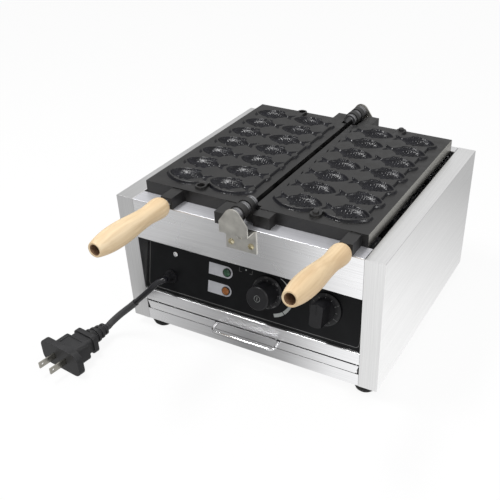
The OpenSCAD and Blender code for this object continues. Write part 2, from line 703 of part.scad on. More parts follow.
// Cut-back at the inner corners, where the other mould's knuckle and the collars turn
module barrel_zone() for (s = [0, 1]) mirror([0, s, 0])
    translate([-30, -ear_y - 1, mould_z0 - 1]) cube([30 + pad_gap_r, 54.5, 60]);

// Left mould: outer knuckle at the front, inner knuckle at the rear, two sockets for the pegs
module mould_left() color(cast_grey) in_place() mirror([1, 0, 0]) difference() {
    union() {
        difference() {
            mould_plate();
            barrel_zone();
        }
        hinge_pad(-ear_y + 12, mould_y0 + 1, [-outer_knuckle[1], -outer_knuckle[0]], 38);
        hinge_pad(mould_y1 - 1, ear_y - 11, inner_knuckle, 38);
        handle_lug(grip_left_x, tilt_left);
    }
    for (y = peg_ys) translate([peg_x, y, field_z - 7]) cylinder(r = peg_r + peg_play, h = 8, $fn = 32);
    pin_bore();
}

// Handle axis: origin at the lug's face, -Y runs out along the grip
function tilt_of(x) = x < 0 ? tilt_left : tilt_right;
module on_handle(x) translate([x, -lug_front, rod_z]) rotate([-tilt_of(x), 0, 0]) children();

module handle_rod(x) on_handle(x) translate([0, -nut_len - grip_len + end_hole - 8, 0])
    along_y(rod_r, nut_len + grip_len - end_hole + 8 + 15, 48);

module handle_rod_left() color(dark_steel) in_place() handle_rod(-grip_left_x);

module handle_rod_right() color(dark_steel) in_place() handle_rod(grip_right_x);

// Lock nut against the lug and end nut in the grip's hole
module handle_nuts(x) on_handle(x) {
    translate([0, -nut_len, 0]) difference() {
        along_y(nut_r, nut_len - nut_r * sin(tilt_of(x)) - 0.2, 6);
        translate([0, -1, 0]) along_y(rod_r + tight_gap, nut_len + 2, 48);
    }
    translate([0, -nut_len - grip_len + end_hole - 6.5, 0]) difference() {
        along_y(6.9, 6.5, 6);
        translate([0, -1, 0]) along_y(rod_r + tight_gap, 9, 48);
    }
}

module handle_nuts_left() color(steel) in_place() handle_nuts(-grip_left_x);

module handle_nuts_right() color(steel) in_place() handle_nuts(grip_right_x);

// Turned grip with a stepped bore: the end nut sits in the wide part
function grip_t(i) = i < 6 ? bulb_t * i / 6 : bulb_t + (1 - bulb_t) * (i - 6) / 30;
grip_profile = concat([[0, 0]], [for (i = [0:36]) [grip_r(grip_t(i)), grip_len * grip_t(i)]],
    [[0, grip_len]]);

module grip(x) on_handle(x) translate([0, -nut_len, 0]) difference() {
    rotate([90, 0, 0]) rotate_extrude() polygon(grip_profile);
    translate([0, -grip_len - 1, 0]) along_y(end_hole_r, end_hole + 1, 48);
    translate([0, -grip_len - 0.01, 0]) rotate([-90, 0, 0])
        cylinder(r1 = end_hole_r + 1.4, r2 = end_hole_r, h = 1.4, $fn = 48);
    translate([0, -grip_len, 0]) along_y(rod_r + 2 * fit_gap, grip_len + 1, 48);
}

module grip_left() color(timber) in_place() grip(-grip_left_x);

module grip_right() color(timber) in_place() grip(grip_right_x);

// Bell-shaped rubber feet, the right pair sits under the right casing's inner edge
module foot_places() for (x = [-foot_left_x, foot_right_x], y = [-1, 1] * foot_y)
    translate([x, y, 0]) children();

module feet() color(black) in_place() foot_places() difference() {
    union() {
        cylinder(r1 = foot_d / 2 - 6, r2 = foot_d / 2 - 2.2, h = 4);
        translate([0, 0, 4]) cylinder(r1 = foot_d / 2 - 2.2, r2 = foot_d / 2, h = 6);
        translate([0, 0, 10]) cylinder(r = foot_d / 2, h = foot_h - 10);
    }
    translate([0, 0, -1]) cylinder(r = 6, h = 7);
    cylinder(r = foot_screw_r + 2 * fit_gap, h = 30, $fn = 32);
}

module foot_screws() color(steel) in_place() foot_places() {
    translate([0, 0, 3.2]) cylinder(r = 4.4, h = 2.8, $fn = 48);
    translate([0, 0, 5]) cylinder(r = foot_screw_r, h = foot_h - 3.5, $fn = 32);
}

// Strain relief: flange, tapered nose and a nut behind the panel
module cable_gland() color(black) in_place() on_panel(gland_x, gland_row) difference() {
    union() {
        translate([0, 0, -8]) cylinder(r = gland_r, h = 9);
        cylinder(r = gland_r + 2.5, h = 3, $fn = 64);
        translate([0, 0, 3]) cylinder(r1 = gland_r + 0.6, r2 = gland_r - 1.8, h = 12);
        translate([0, 0, -7]) cylinder(r = gland_r + 3, h = 5.5, $fn = 6);
    }
    translate([0, 0, -9]) cylinder(r = cord_d / 2 + fit_gap, h = 30, $fn = 48);
    for (a = [0:60:300]) rotate(a) translate([cord_d / 2 + 1.7, -0.7, 7]) cube([5, 1.4, 5]);
}

// Swept tube through smoothed route points
gland_axis = [0, -cos(panel_tilt), sin(panel_tilt)];
gland_at = [gland_x, panel_y + gland_row * sin(panel_tilt), z_ledge + gland_row * cos(panel_tilt)];
plug_dir = [cos(plug_turn), sin(plug_turn), 0];
knots = concat([for (d = [-16, -5, 6, 15.5, 20]) gland_at + d * gland_axis], route,
    [for (d = [-6, 0, 8, 20]) plug_at + d * plug_dir]);
function spline(a, b, c, d, t) = 0.5 * (2 * b + (c - a) * t + (2 * a - 5 * b + 4 * c - d) * t * t
    + (3 * b - a - 3 * c + d) * t * t * t);
function unit(v) = v / norm(v);
steps = 2;
last_knot = len(knots) - 3;
path = concat([for (i = [1:last_knot], t = [0:steps - 1]) spline(knots[i - 1], knots[i], knots[i + 1],
    knots[min(i + 2, len(knots) - 1)], t / steps)], [knots[len(knots) - 2]]);
sides = 10;
function tangent(i) = unit(path[min(i + 1, len(path) - 1)] - path[max(i - 1, 0)]);
function frame_x(i) = unit(cross(tangent(i), [0.3, 0.2, 1]));
function frame_y(i) = cross(tangent(i), frame_x(i));
cord_points = [for (i = [0:len(path) - 1], k = [0:sides - 1]) path[i]
    + cord_d / 2 * (cos(360 * k / sides) * frame_x(i) + sin(360 * k / sides) * frame_y(i))];
cord_faces = concat([[for (k = [0:sides - 1]) k]],
    [for (i = [0:len(path) - 2], k = [0:sides - 1]) [i * sides + k, (i + 1) * sides + k,
        (i + 1) * sides + (k + 1) % sides, i * sides + (k + 1) % sides]],
    [[for (k = [0:sides - 1]) len(path) * sides - 1 - k]]);

module power_cord() color(black) in_place() polyhedron(cord_points, cord_faces);

// Plug frame: X runs out of the boot towards the blades
module on_plug() translate(plug_at) rotate([0, 0, plug_turn]) children();

module along_plug(x0, len, w, h, r) translate([x0, -w / 2, -h / 2]) rotate([90, 0, 90])
    linear_extrude(len) rounded_rect(w, h, r);

// Moulded plug: ribbed boot, collar, waisted grip with a sunk panel, and a broad face flange
module plug_body() color([0.2, 0.2, 0.21]) in_place() on_plug() difference() {
    union() {
        rotate([0, 90, 0]) cylinder(r1 = 7.6, r2 = 11.4, h = 36);
        for (k = [0:3]) translate([2 + 8.6 * k, 0, 0]) rotate([0, 90, 0]) cylinder(r = 10 + 1.4 * k, h = 4.6);
        along_plug(35, 9, 44, 32, 8);
        along_plug(43, 40, 38, 25, 5);
        along_plug(56, 28, 52, 32, 8);
        along_plug(flange_x, 11, 82, 42, 13);
    }
    translate([59, -15, 14.4]) cube([18, 30, 4]);
    translate([-1, 0, 0]) rotate([0, 90, 0]) cylinder(r = cord_d / 2 + fit_gap, h = 9.2, $fn = 48);
    for (y = [-blade_y, blade_y])
        translate([blade_x - 0.1, y - blade_t / 2 - fit_gap, -blade_h / 2 - fit_gap])
            cube([30, blade_t + 2 * fit_gap, blade_h + 2 * fit_gap]);
}

flange_x = 82;
blade_x = flange_x - 8;
blade_y = 12;
blade_t = 2.4;
blade_h = 10;

module plug_blades() color([0.8, 0.78, 0.7]) in_place() on_plug() for (y = [-blade_y, blade_y])
    translate([blade_x, y - blade_t / 2, -blade_h / 2]) difference() {
        cube([48, blade_t, blade_h]);
        translate([42, -1, blade_h / 2]) along_y(2.2, 5, 32);
    }

side_casing_left();
side_casing_right();
front_cover();
rear_cover();
rear_screws();
base_pan();
front_strip();
control_panel();
panel_screw();
label_plates();
lamp_housings();
green_lens();
orange_lens();
thermostat_body();
timer_body();
thermostat_knob();
timer_knob();
heat_shield();
element_rails();
heating_element_left();
heating_element_right();
terminal_block();
tray_runners();
drip_tray();
tray_pull();
hinge_brackets();
bracket_screws();
hinge_pins();
hinge_collars();
mould_left();
mould_right();
handle_rod_left();
handle_rod_right();
handle_nuts_left();
handle_nuts_right();
grip_left();
grip_right();
feet();
foot_screws();
cable_gland();
power_cord();
plug_body();
plug_blades();
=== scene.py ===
# %% [markdown]
# # A countertop fish-waffle maker
# A steel casing carries two cast moulds that fold over one hinge line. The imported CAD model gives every
# rigid part its size and place, and this lesson adds what a camera sees: brushed steel, a coated casting
# with fish pressed into it, turned wood, printed dials and the mains lead.

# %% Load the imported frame
import bpy
import json
import math
import numpy as np
from mathutils import Matrix, Vector
from mathutils.bvhtree import BVHTree


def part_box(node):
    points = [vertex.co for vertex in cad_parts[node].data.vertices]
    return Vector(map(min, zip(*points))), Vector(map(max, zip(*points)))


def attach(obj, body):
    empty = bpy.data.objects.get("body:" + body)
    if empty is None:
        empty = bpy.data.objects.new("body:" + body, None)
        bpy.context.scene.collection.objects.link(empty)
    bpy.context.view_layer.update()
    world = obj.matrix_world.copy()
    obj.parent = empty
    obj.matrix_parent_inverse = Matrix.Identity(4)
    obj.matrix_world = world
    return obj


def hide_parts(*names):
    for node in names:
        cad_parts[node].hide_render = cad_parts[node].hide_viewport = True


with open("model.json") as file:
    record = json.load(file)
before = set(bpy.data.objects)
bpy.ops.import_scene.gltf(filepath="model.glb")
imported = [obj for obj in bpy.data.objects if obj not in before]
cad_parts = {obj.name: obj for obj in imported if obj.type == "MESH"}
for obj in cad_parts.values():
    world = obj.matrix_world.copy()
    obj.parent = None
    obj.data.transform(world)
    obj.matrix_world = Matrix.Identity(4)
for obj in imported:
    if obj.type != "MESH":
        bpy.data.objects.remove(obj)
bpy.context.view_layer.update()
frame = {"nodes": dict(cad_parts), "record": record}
MM = 0.001
casing_low, casing_high = (Vector(v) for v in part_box("side_casing_left"))
front_y = casing_low.y
shift_y = (casing_low.y + casing_high.y) / 2
deck_z = casing_high.z
ledge_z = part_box("front_strip")[1][2]
print("casing front at", round(front_y, 4), "deck at", round(deck_z, 4))

# %% [markdown]
# ## Camera
# The photograph looks down at the machine from the right of its controls. Its lens was found by matching
# the corners of the casing. The picture is not centred on the lens axis, so the camera is shifted instead
# of turned, which keeps the upright edges as they are in the photograph.

# %% Camera
photo_side = 500
lens_pixels = 751.552
lens_axis = (306.293, 309.257)
look_down = 35.740
turned_left = 26.894
eye_data = bpy.data.cameras.new("photo_camera")
eye_data.sensor_width = 36
eye_data.lens = lens_pixels / photo_side * eye_data.sensor_width
eye_data.shift_x = -(lens_axis[0] - photo_side / 2) / photo_side
eye_data.shift_y = (lens_axis[1] - photo_side / 2) / photo_side
eye_data.clip_start = 0.05
eye = bpy.data.objects.new("photo_camera", eye_data)
eye.location = (0.4906, -0.9654 + shift_y, 0.746)
eye.rotation_euler = (math.radians(90 - look_down), 0, math.radians(turned_left))
bpy.context.collection.objects.link(eye)
bpy.context.scene.camera = eye
print("lens", round(eye_data.lens, 1), "mm")

# %% [markdown]
# ## Helpers for modelling by hand
# Operators act on whatever is selected, so each piece starts by deselecting everything. A turned piece is
# made as on a lathe drawing: a circle is extruded along its axis and each new ring is scaled to its radius.

# %% Small modelling helpers
def deselect_all():
    if bpy.context.object and bpy.context.object.mode != "OBJECT":
        bpy.ops.object.mode_set(mode="OBJECT")
    bpy.ops.object.select_all(action="DESELECT")


def pick(piece):
    deselect_all()
    piece.select_set(True)
    bpy.context.view_layer.objects.active = piece
    return piece


def named(name):
    piece = bpy.context.object
    piece.name = name
    piece.data.name = name
    return piece


def settle(piece, place=None):
    """Bakes the object's place, and an extra matrix, into its mesh."""
    matrix = piece.matrix_basis.copy()
    piece.data.transform(place @ matrix if place is not None else matrix)
    piece.matrix_basis = Matrix.Identity(4)
    return piece


def face_outwards(piece):
    pick(piece)
    bpy.ops.object.mode_set(mode="EDIT")
    bpy.ops.mesh.select_all(action="SELECT")
    bpy.ops.mesh.remove_doubles(threshold=0.000002)
    bpy.ops.mesh.normals_make_consistent(inside=False)
    bpy.ops.object.mode_set(mode="OBJECT")


def edit_faces(piece, chosen):
    """Enters edit mode with exactly the chosen faces selected."""
    mesh = piece.data
    pick(piece)
    bpy.context.tool_settings.mesh_select_mode = (False, False, True)
    mesh.vertices.foreach_set("select", np.zeros(len(mesh.vertices), bool))
    mesh.edges.foreach_set("select", np.zeros(len(mesh.edges), bool))
    mesh.polygons.foreach_set("select", np.asarray(chosen, bool))
    bpy.ops.object.mode_set(mode="EDIT")


def add_modifier(piece, kind, **settings):
    modifier = piece.modifiers.new(kind.lower(), kind)
    for key, value in settings.items():
        setattr(modifier, key, value)
    pick(piece)
    bpy.ops.object.modifier_apply(modifier=modifier.name)


def smooth(piece, angle=35):
    pick(piece)
    bpy.ops.object.shade_smooth_by_angle(angle=math.radians(angle))


def soften(piece, width):
    add_modifier(piece, "BEVEL", width=width, segments=2, limit_method="ANGLE",
                 angle_limit=math.radians(35), use_clamp_overlap=True, harden_normals=False)


def turned(name, stations, sides=64):
    """A closed turned piece along +Z from (height, radius) stations, in metres."""
    deselect_all()
    height, radius = stations[0]
    bpy.ops.mesh.primitive_circle_add(vertices=sides, radius=radius, fill_type="NGON",
                                      location=(0, 0, height))
    piece = named(name)
    settle(piece)
    bpy.ops.object.mode_set(mode="EDIT")
    bpy.ops.mesh.select_all(action="SELECT")
    for next_height, next_radius in stations[1:]:
        bpy.ops.mesh.extrude_region_move(
            TRANSFORM_OT_translate={"value": (0, 0, next_height - height)})
        ratio = next_radius / radius
        bpy.ops.transform.resize(value=(ratio, ratio, 1), center_override=(0, 0, next_height))
        height, radius = next_height, next_radius
    bpy.ops.object.mode_set(mode="OBJECT")
    face_outwards(piece)
    return piece


def axis_frame(origin, z_axis):
    """A place whose Z runs along an axis and whose X stays close to the world's."""
    z = Vector(z_axis).normalized()
    y = z.cross(Vector((1, 0, 0))).normalized()
    x = y.cross(z)
    return Matrix(((x.x, y.x, z.x, origin[0]), (x.y, y.y, z.y, origin[1]),
                   (x.z, y.z, z.z, origin[2]), (0, 0, 0, 1)))


# %% [markdown]
# ## The mains lead
# The photograph shows the lead from end to end: it leaves a gland in the panel, drops past the left front
# corner and ends in a plug on the table. Its route is the one the CAD model uses, written again in metres.

# %% The sloping panel, which the lead leaves
panel_tilt = math.radians(12.95)
panel_setback = 4.8
cover_gap = 0.0005
panel_out = Vector((0, -math.cos(panel_tilt), math.sin(panel_tilt)))
panel_up = Vector((0, math.sin(panel_tilt), math.cos(panel_tilt)))
panel_foot = Vector((0, front_y + panel_setback * MM, ledge_z))
panel_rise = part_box("front_cover")[0][2] - cover_gap - ledge_z
print("panel rises", round(panel_rise, 4), "m")


def on_panel(x, up, out=0.0):
    """A point of the control panel, from millimetres across, up the slope and out of it."""
    return panel_foot + Vector((x * MM, 0, 0)) + panel_up * (up * MM) + panel_out * (out * MM)


# %% Mains lead
gland_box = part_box("cable_gland")
gland_x = (gland_box[0][0] + gland_box[1][0]) / 2 / MM
gland_up = 0.31 * panel_rise / math.cos(panel_tilt) / MM
lead_d = 9 * MM
lead_at = Vector((gland_x * MM, front_y, 0))
plug_at = lead_at + Vector((-0.08795, -0.0595, 0.021))
plug_dir = Vector((math.cos(math.radians(-97.5)), math.sin(math.radians(-97.5)), 0))
route = [(-0.00795, -0.0145, 0.105), (-0.01295, -0.0205, 0.099), (-0.02395, -0.0245, 0.087),
         (-0.03795, -0.0275, 0.0725), (-0.05095, -0.0295, 0.059), (-0.06295, -0.0325, 0.0475),
         (-0.07295, -0.0375, 0.038), (-0.08045, -0.0435, 0.03), (-0.08495, -0.05, 0.0245)]
knots = [on_panel(gland_x, gland_up, out) for out in (-16, -5, 6, 15.5, 20)]
knots += [lead_at + Vector(p) for p in route]
knots += [plug_at + plug_dir * (d * MM) for d in (-6, 0, 8, 20)]


def spline(a, b, c, d, t):
    """A point between b and c on a smooth curve through all four."""
    return 0.5 * (2 * b + (c - a) * t + (2 * a - 5 * b + 4 * c - d) * t * t
                  + (3 * b - a - 3 * c + d) * t ** 3)


lead_line = [spline(*knots[i - 1:i + 3], t / 4) for i in range(3, len(knots) - 3) for t in range(4)]
lead_line.append(knots[-3] + plug_dir * 0.004)


def cable(name, line, radius):
    """A round curve. The radius is set at its points, which keeps its bounding box right."""
    curve = bpy.data.curves.new(name, "CURVE")
    curve.dimensions = "3D"
    curve.bevel_depth = 1.0
    curve.bevel_resolution = 6
    curve.use_fill_caps = True
    thread = curve.splines.new("POLY")
    thread.points.add(len(line) - 1)
    for point, place in zip(thread.points, line):
        point.co = (*place, 1)
        point.radius = radius
    made = bpy.data.objects.new(name, curve)
    bpy.context.collection.objects.link(made)
    return made


lead = cable("mains_lead", lead_line, lead_d / 2)
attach(lead, "casing")
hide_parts("power_cord")

# %% Thicker sheath over the last part of the lead
sheath_r = 5.5 * MM
sheath_start_x = -0.043
sheath_from = next(i for i, p in enumerate(lead_line) if (p - lead_at).x < sheath_start_x)
sheath = cable("lead_sheath", lead_line[sheath_from:], sheath_r)
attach(sheath, "casing")
print("sheath over", len(lead_line) - sheath_from, "of", len(lead_line), "points")

# %% [markdown]
# ## Studio
# The photograph is a cut-out on white with very soft light. The camera, and rays that pass through a piece,
# see plain white. A mirror of plain white would leave the steel without any shape, and real steel is
# photographed between pale and grey cards. So glossy rays see a floor and a sky that are graded from pale to
# grey, and these give the steel its slow ramps. The sky also gives the soft light, and two small lamps add
# the highlights.

# %% Helpers for shader nodes
def node(tree, kind, **values):
    """Adds a shader node and sets its plain properties."""
    made = tree.nodes.new("ShaderNode" + kind)
    for key, value in values.items():
        setattr(made, key, value)
    return made


def plug_in(tree, value, socket):
    """Sets a socket to a number, or links another socket to it."""
    if isinstance(value, (int, float)):
        socket.default_value = value
    else:
        tree.links.new(value, socket)


def calc(tree, operation, a, b):
    made = node(tree, "Math", operation=operation)
    plug_in(tree, a, made.inputs[0])
    plug_in(tree, b, made.inputs[1])
    return made.outputs[0]


def axes_of(tree, space):
    """X, Y and Z of a coordinate space."""
    parts = node(tree, "SeparateXYZ")
    tree.links.new(node(tree, "TexCoord").outputs[space], parts.inputs[0])
    return parts.outputs


def greys(tree, source, low, high, stops):
    """Grey levels over a value that runs from low to high."""
    stretched = node(tree, "MapRange")
    stretched.inputs["From Min"].default_value = low
    stretched.inputs["From Max"].default_value = high
    tree.links.new(source, stretched.inputs["Value"])
    made = node(tree, "ValToRGB")
    marks = made.color_ramp.elements
    while len(marks) < len(stops):
        marks.new(0.5)
    for mark, (position, grey) in zip(marks, stops):
        mark.position = position
        mark.color = (grey, grey, grey, 1)
    tree.links.new(stretched.outputs["Result"], made.inputs["Fac"])
    return made.outputs["Color"]


def source_of(tree, kind, grey=1.0):
    """A background, emission or diffuse shader of one grey."""
    made = node(tree, kind)
    made.inputs["Color"].default_value = (grey, grey, grey, 1)
    return made


def mixed(tree, share, first, second):
    """Mixes two shaders by a number or by a socket, such as Is Camera Ray."""
    made = node(tree, "MixShader")
    plug_in(tree, share, made.inputs[0])
    tree.links.new(first, made.inputs[1])
    tree.links.new(second, made.inputs[2])
    return made.outputs[0]


# %% World: a graded sky, and plain white for the camera
scene = bpy.context.scene
scene.view_settings.view_transform = "Standard"
scene.world = bpy.data.worlds.new("white_room")
scene.world.use_nodes = True
sky = scene.world.node_tree
sky.nodes.clear()
sky_axes = axes_of(sky, "Generated")
sky_height = greys(sky, sky_axes["Z"], 0.0, 1.0,
                   [(0.0, 0.42), (0.30, 0.58), (0.42, 0.70), (0.52, 0.84), (0.75, 0.88), (1.0, 0.66)])
sky_side = greys(sky, sky_axes["X"], -1.0, 1.0, [(0.0, 0.6), (0.22, 0.6), (0.34, 1.0), (1.0, 1.0)])
sky_light = source_of(sky, "Background")
sky.links.new(calc(sky, "MULTIPLY", sky_height, sky_side), sky_light.inputs["Color"])
sky_path = node(sky, "LightPath").outputs
sky_clear = calc(sky, "MAXIMUM", sky_path["Is Camera Ray"], sky_path["Is Transmission Ray"])
sky_all = mixed(sky, sky_clear, sky_light.outputs[0], source_of(sky, "Background").outputs[0])
sky.links.new(sky_all, node(sky, "OutputWorld").inputs["Surface"])
print("world has", len(sky.nodes), "nodes")

# %% Floor: white with a soft shadow for the camera, graded for glossy rays
deselect_all()
bpy.ops.mesh.primitive_plane_add(size=6, location=(0, 0, -0.0002))
floor = named("studio_floor")
floor_paint = bpy.data.materials.new("floor_white")
floor_paint.use_nodes = True
tree = floor_paint.node_tree
tree.nodes.clear()
floor_axes = axes_of(tree, "Object")
grade_from = front_y - 0.05
grade_to = front_y + 0.75
near_y = calc(tree, "MINIMUM", floor_axes["Y"], front_y)
lean = calc(tree, "MULTIPLY", calc(tree, "SUBTRACT", near_y, grade_from), 0.5)
across = greys(tree, calc(tree, "SUBTRACT", floor_axes["X"], lean), -0.5, 0.5,
               [(0.0, 0.54), (0.28, 0.56), (0.40, 0.37), (0.475, 0.22), (0.535, 0.36),
                (0.62, 0.86), (0.70, 1.0), (1.0, 1.0)])
along = greys(tree, floor_axes["Y"], grade_from, grade_to, [(0.0, 1.0), (0.3, 0.94), (1.0, 0.47)])
floor_level = calc(tree, "MULTIPLY", calc(tree, "MULTIPLY", across, along), 1.1)
floor_gloss = source_of(tree, "Emission")
tree.links.new(floor_level, floor_gloss.inputs["Strength"])
floor_camera = mixed(tree, 0.90, source_of(tree, "BsdfDiffuse", 0.90).outputs[0],
                     source_of(tree, "Emission").outputs[0])
floor_path = node(tree, "LightPath").outputs
floor_other = mixed(tree, floor_path["Is Glossy Ray"], source_of(tree, "BsdfDiffuse", 0.62).outputs[0],
                    floor_gloss.outputs[0])
floor_all = mixed(tree, floor_path["Is Camera Ray"], floor_other, floor_camera)
tree.links.new(floor_all, node(tree, "OutputMaterial").inputs["Surface"])
floor.data.materials.append(floor_paint)
print("floor has", len(tree.nodes), "nodes")


# %% Lamps
def lamp(name, place, aim, size, power):
    data = bpy.data.lights.new(name, "AREA")
    data.shape = "RECTANGLE"
    data.size, data.size_y = size
    data.energy = power
    light = bpy.data.objects.new(name, data)
    light.location = place
    light.rotation_euler = (Vector(aim) - Vector(place)).to_track_quat("-Z", "Y").to_euler()
    bpy.context.collection.objects.link(light)
    print(name, power, "W")


lamp("top_box", (-0.6, -0.3, 1.6), (0, 0.05, 0.2), (0.6, 0.25), 14)
lamp("right_box", (1.3, -0.7, 1.0), (0.1, 0, 0.15), (0.22, 0.22), 5)

# %% [markdown]
# ## Finishes
# Every finish is a small node tree on Object coordinates. A noise that is stretched along one axis gives
# brushed steel its lines, and a fine noise gives the coated casting and the plastics their sand texture.
# The brushing runs across the covers, from front to back on the sides, and upright on the posts. The posts
# are darker than the same steel on the sides, which is painted shade.

# %% Brushed steel
def shader(name, colour, rough, metal=0.0, specular=0.5):
    paint = bpy.data.materials.new(name)
    paint.use_nodes = True
    body = paint.node_tree.nodes["Principled BSDF"]
    body.inputs["Base Color"].default_value = (*colour, 1)
    body.inputs["Roughness"].default_value = rough
    body.inputs["Metallic"].default_value = metal
    body.inputs["Specular IOR Level"].default_value = specular
    return paint, paint.node_tree, body


def object_noise(tree, stretch, detail, roughness):
    """Noise on Object coordinates, with its own stretch along X, Y and Z."""
    mapping = node(tree, "Mapping")
    mapping.inputs["Scale"].default_value = stretch
    noise = node(tree, "TexNoise")
    noise.inputs["Scale"].default_value = 1.0
    noise.inputs["Detail"].default_value = detail
    noise.inputs["Roughness"].default_value = roughness
    tree.links.new(node(tree, "TexCoord").outputs["Object"], mapping.inputs["Vector"])
    tree.links.new(mapping.outputs[0], noise.inputs["Vector"])
    return noise.outputs["Fac"]


def ramp(tree, source, stops):
    """A colour ramp from (position, colour) stops."""
    blend = node(tree, "ValToRGB")
    marks = blend.color_ramp.elements
    for mark, (position, colour) in zip((marks[0], marks[1]), (stops[0], stops[-1])):
        mark.position = position
        mark.color = (*colour, 1)
    for position, colour in stops[1:-1]:
        marks.new(position).color = (*colour, 1)
    tree.links.new(source, blend.inputs["Fac"])
    return blend.outputs["Color"]


def span(tree, source, low, high):
    """Maps the middle part of a noise, where most of it lies, to low..high."""
    scale = node(tree, "MapRange")
    for key, value in (("From Min", 0.3), ("From Max", 0.7), ("To Min", low), ("To Max", high)):
        scale.inputs[key].default_value = value
    tree.links.new(source, scale.inputs["Value"])
    return scale.outputs["Result"]


def bump(tree, body, source, strength, distance):
    relief = node(tree, "Bump")
    relief.inputs["Strength"].default_value = strength
    relief.inputs["Distance"].default_value = distance
    tree.links.new(source, relief.inputs["Height"])
    tree.links.new(relief.outputs[0], body.inputs["Normal"])


def brushed(name, stretch, dark, light, rough, metal=1.0):
    paint, tree, body = shader(name, light, sum(rough) / 2, metal)
    lines = object_noise(tree, stretch, 6, 0.6)
    cloud = object_noise(tree, (6, 6, 6), 2, 0.5)
    tree.links.new(ramp(tree, lines, [(0.3, dark), (0.7, light)]), body.inputs["Base Color"])
    tree.links.new(span(tree, cloud, *rough), body.inputs["Roughness"])
    bump(tree, body, lines, 0.12, 0.00004)
    return paint


steel_across = brushed("steel_brushed_across", (10, 1500, 1500),
                       (0.82, 0.82, 0.83), (0.98, 0.98, 0.99), (0.24, 0.34))
steel_deep = brushed("steel_brushed_deep", (1500, 10, 1500),
                     (0.84, 0.84, 0.84), (0.98, 0.98, 0.98), (0.28, 0.40))
# The posts are the fronts of the side casings; their darker tone than the same sheet elsewhere is painted
# shade.
steel_upright_painted_shade = brushed("steel_brushed_upright_painted_shade", (1500, 1500, 10),
                     (0.67, 0.67, 0.67), (0.80, 0.80, 0.80), (0.28, 0.40))
# The top ledge of the front cover gets a darker, lilac-grey copy of the cover's steel: painted shade.
steel_ledge_painted_shade = brushed("steel_brushed_ledge_painted_shade", (10, 1500, 1500),
                      (0.57, 0.572, 0.605), (0.72, 0.722, 0.755), (0.40, 0.52), 0.55)
steel_dark = brushed("steel_heat_darkened", (900, 12, 900),
                     (0.05, 0.05, 0.055), (0.12, 0.12, 0.13), (0.4, 0.6))
steel_bright = brushed("steel_polished", (700, 30, 700),
                       (0.66, 0.66, 0.67), (0.84, 0.84, 0.85), (0.10, 0.18))
steel_collar = brushed("steel_satin", (700, 700, 700),
                       (0.26, 0.26, 0.27), (0.38, 0.38, 0.39), (0.25, 0.35))
machined = brushed("casting_machined", (900, 14, 900),
                   (0.32, 0.315, 0.29), (0.44, 0.43, 0.40), (0.30, 0.42))
print("steel finishes made")


# %% Coated casting, plastics, rubber, plating and print
def grainy(name, dark, light, rough, fine, depth=0.18, metal=0.0, coarse=60, specular=0.5):
    """Patches of two tones under a sand texture."""
    paint, tree, body = shader(name, light, sum(rough) / 2, metal, specular)
    patches = object_noise(tree, (coarse, coarse, coarse), 3, 0.6)
    sand = object_noise(tree, (fine, fine, fine), 3, 0.6)
    tree.links.new(ramp(tree, patches, [(0.3, dark), (0.7, light)]), body.inputs["Base Color"])
    tree.links.new(span(tree, patches, *rough), body.inputs["Roughness"])
    bump(tree, body, sand, depth, 0.00012)
    return paint


casting = grainy("casting_coated", (0.004, 0.0039, 0.0042), (0.017, 0.0162, 0.016),
                 (0.30, 0.60), 1500, 0.30, specular=0.60)
# The hollows get a glossier coat, which the casting has, in a much darker tone, which is painted shade.
deep_gloss_painted_shade = grainy("casting_deep_gloss_painted_shade", (0.002, 0.002, 0.0035), (0.007, 0.007, 0.011),
                (0.22, 0.32), 1500, 0.10, coarse=90, specular=0.32)
panel_black = grainy("panel_black", (0.0055, 0.0058, 0.0065), (0.0085, 0.009, 0.010),
                     (0.30, 0.40), 2600, 0.05, specular=0.13)
knob_black = grainy("knob_black", (0.008, 0.008, 0.009), (0.014, 0.014, 0.016),
                    (0.34, 0.46), 2200, 0.10, specular=0.30)
rubber_black = grainy("rubber_black", (0.008, 0.008, 0.008), (0.014, 0.014, 0.014),
                      (0.62, 0.75), 1500, 0.2, specular=0.25)
plug_grey = grainy("plug_grey", (0.020, 0.020, 0.021), (0.032, 0.032, 0.034),
                   (0.40, 0.52), 2600, 0.25, specular=0.35)
lead_black = grainy("lead_black", (0.006, 0.006, 0.008), (0.011, 0.011, 0.014),
                    (0.20, 0.30), 1500, 0.05, specular=0.45)
sheath_grey = grainy("sheath_grey", (0.046, 0.046, 0.047), (0.066, 0.066, 0.068),
                     (0.38, 0.50), 1500, 0.1, specular=0.35)
print_grey = grainy("print_grey", (0.13, 0.13, 0.13), (0.17, 0.17, 0.17),
                    (0.50, 0.60), 1800, 0.05, specular=0.2)
print_pale = grainy("print_pale", (0.34, 0.36, 0.35), (0.42, 0.44, 0.43),
                    (0.50, 0.60), 1800, 0.05, specular=0.2)
nickel = grainy("nickel_dull", (0.54, 0.528, 0.49), (0.68, 0.665, 0.615),
                (0.30, 0.45), 900, 0.25, metal=1.0, coarse=90)
yellow_zinc = grainy("zinc_yellow", (0.50, 0.44, 0.28), (0.68, 0.63, 0.46),
                     (0.22, 0.35), 900, 0.1, metal=1.0)
foil = grainy("label_foil", (0.50, 0.505, 0.54), (0.60, 0.605, 0.64),
              (0.34, 0.42), 1800, 0.05, metal=0.4)
blade_metal = grainy("blade_metal", (0.50, 0.48, 0.42), (0.64, 0.62, 0.56),
                     (0.18, 0.28), 900, 0.08, metal=1.0)
ceramic = grainy("ceramic_white", (0.66, 0.65, 0.60), (0.74, 0.73, 0.70), (0.30, 0.40), 1200)
print("casting, plastic and plating finishes made")


# %% Lenses
def lens_finish(name, deep, light):
    paint = grainy(name, deep, light, (0.12, 0.2), 900, 0.05, coarse=300)
    body = paint.node_tree.nodes["Principled BSDF"]
    body.inputs["Coat Weight"].default_value = 0.25
    body.inputs["Coat Roughness"].default_value = 0.08
    return paint


lens_green = lens_finish("lens_green", (0.004, 0.042, 0.016), (0.010, 0.084, 0.034))
lens_orange = lens_finish("lens_orange", (0.21, 0.062, 0.005), (0.34, 0.108, 0.010))
print("lens finishes made")
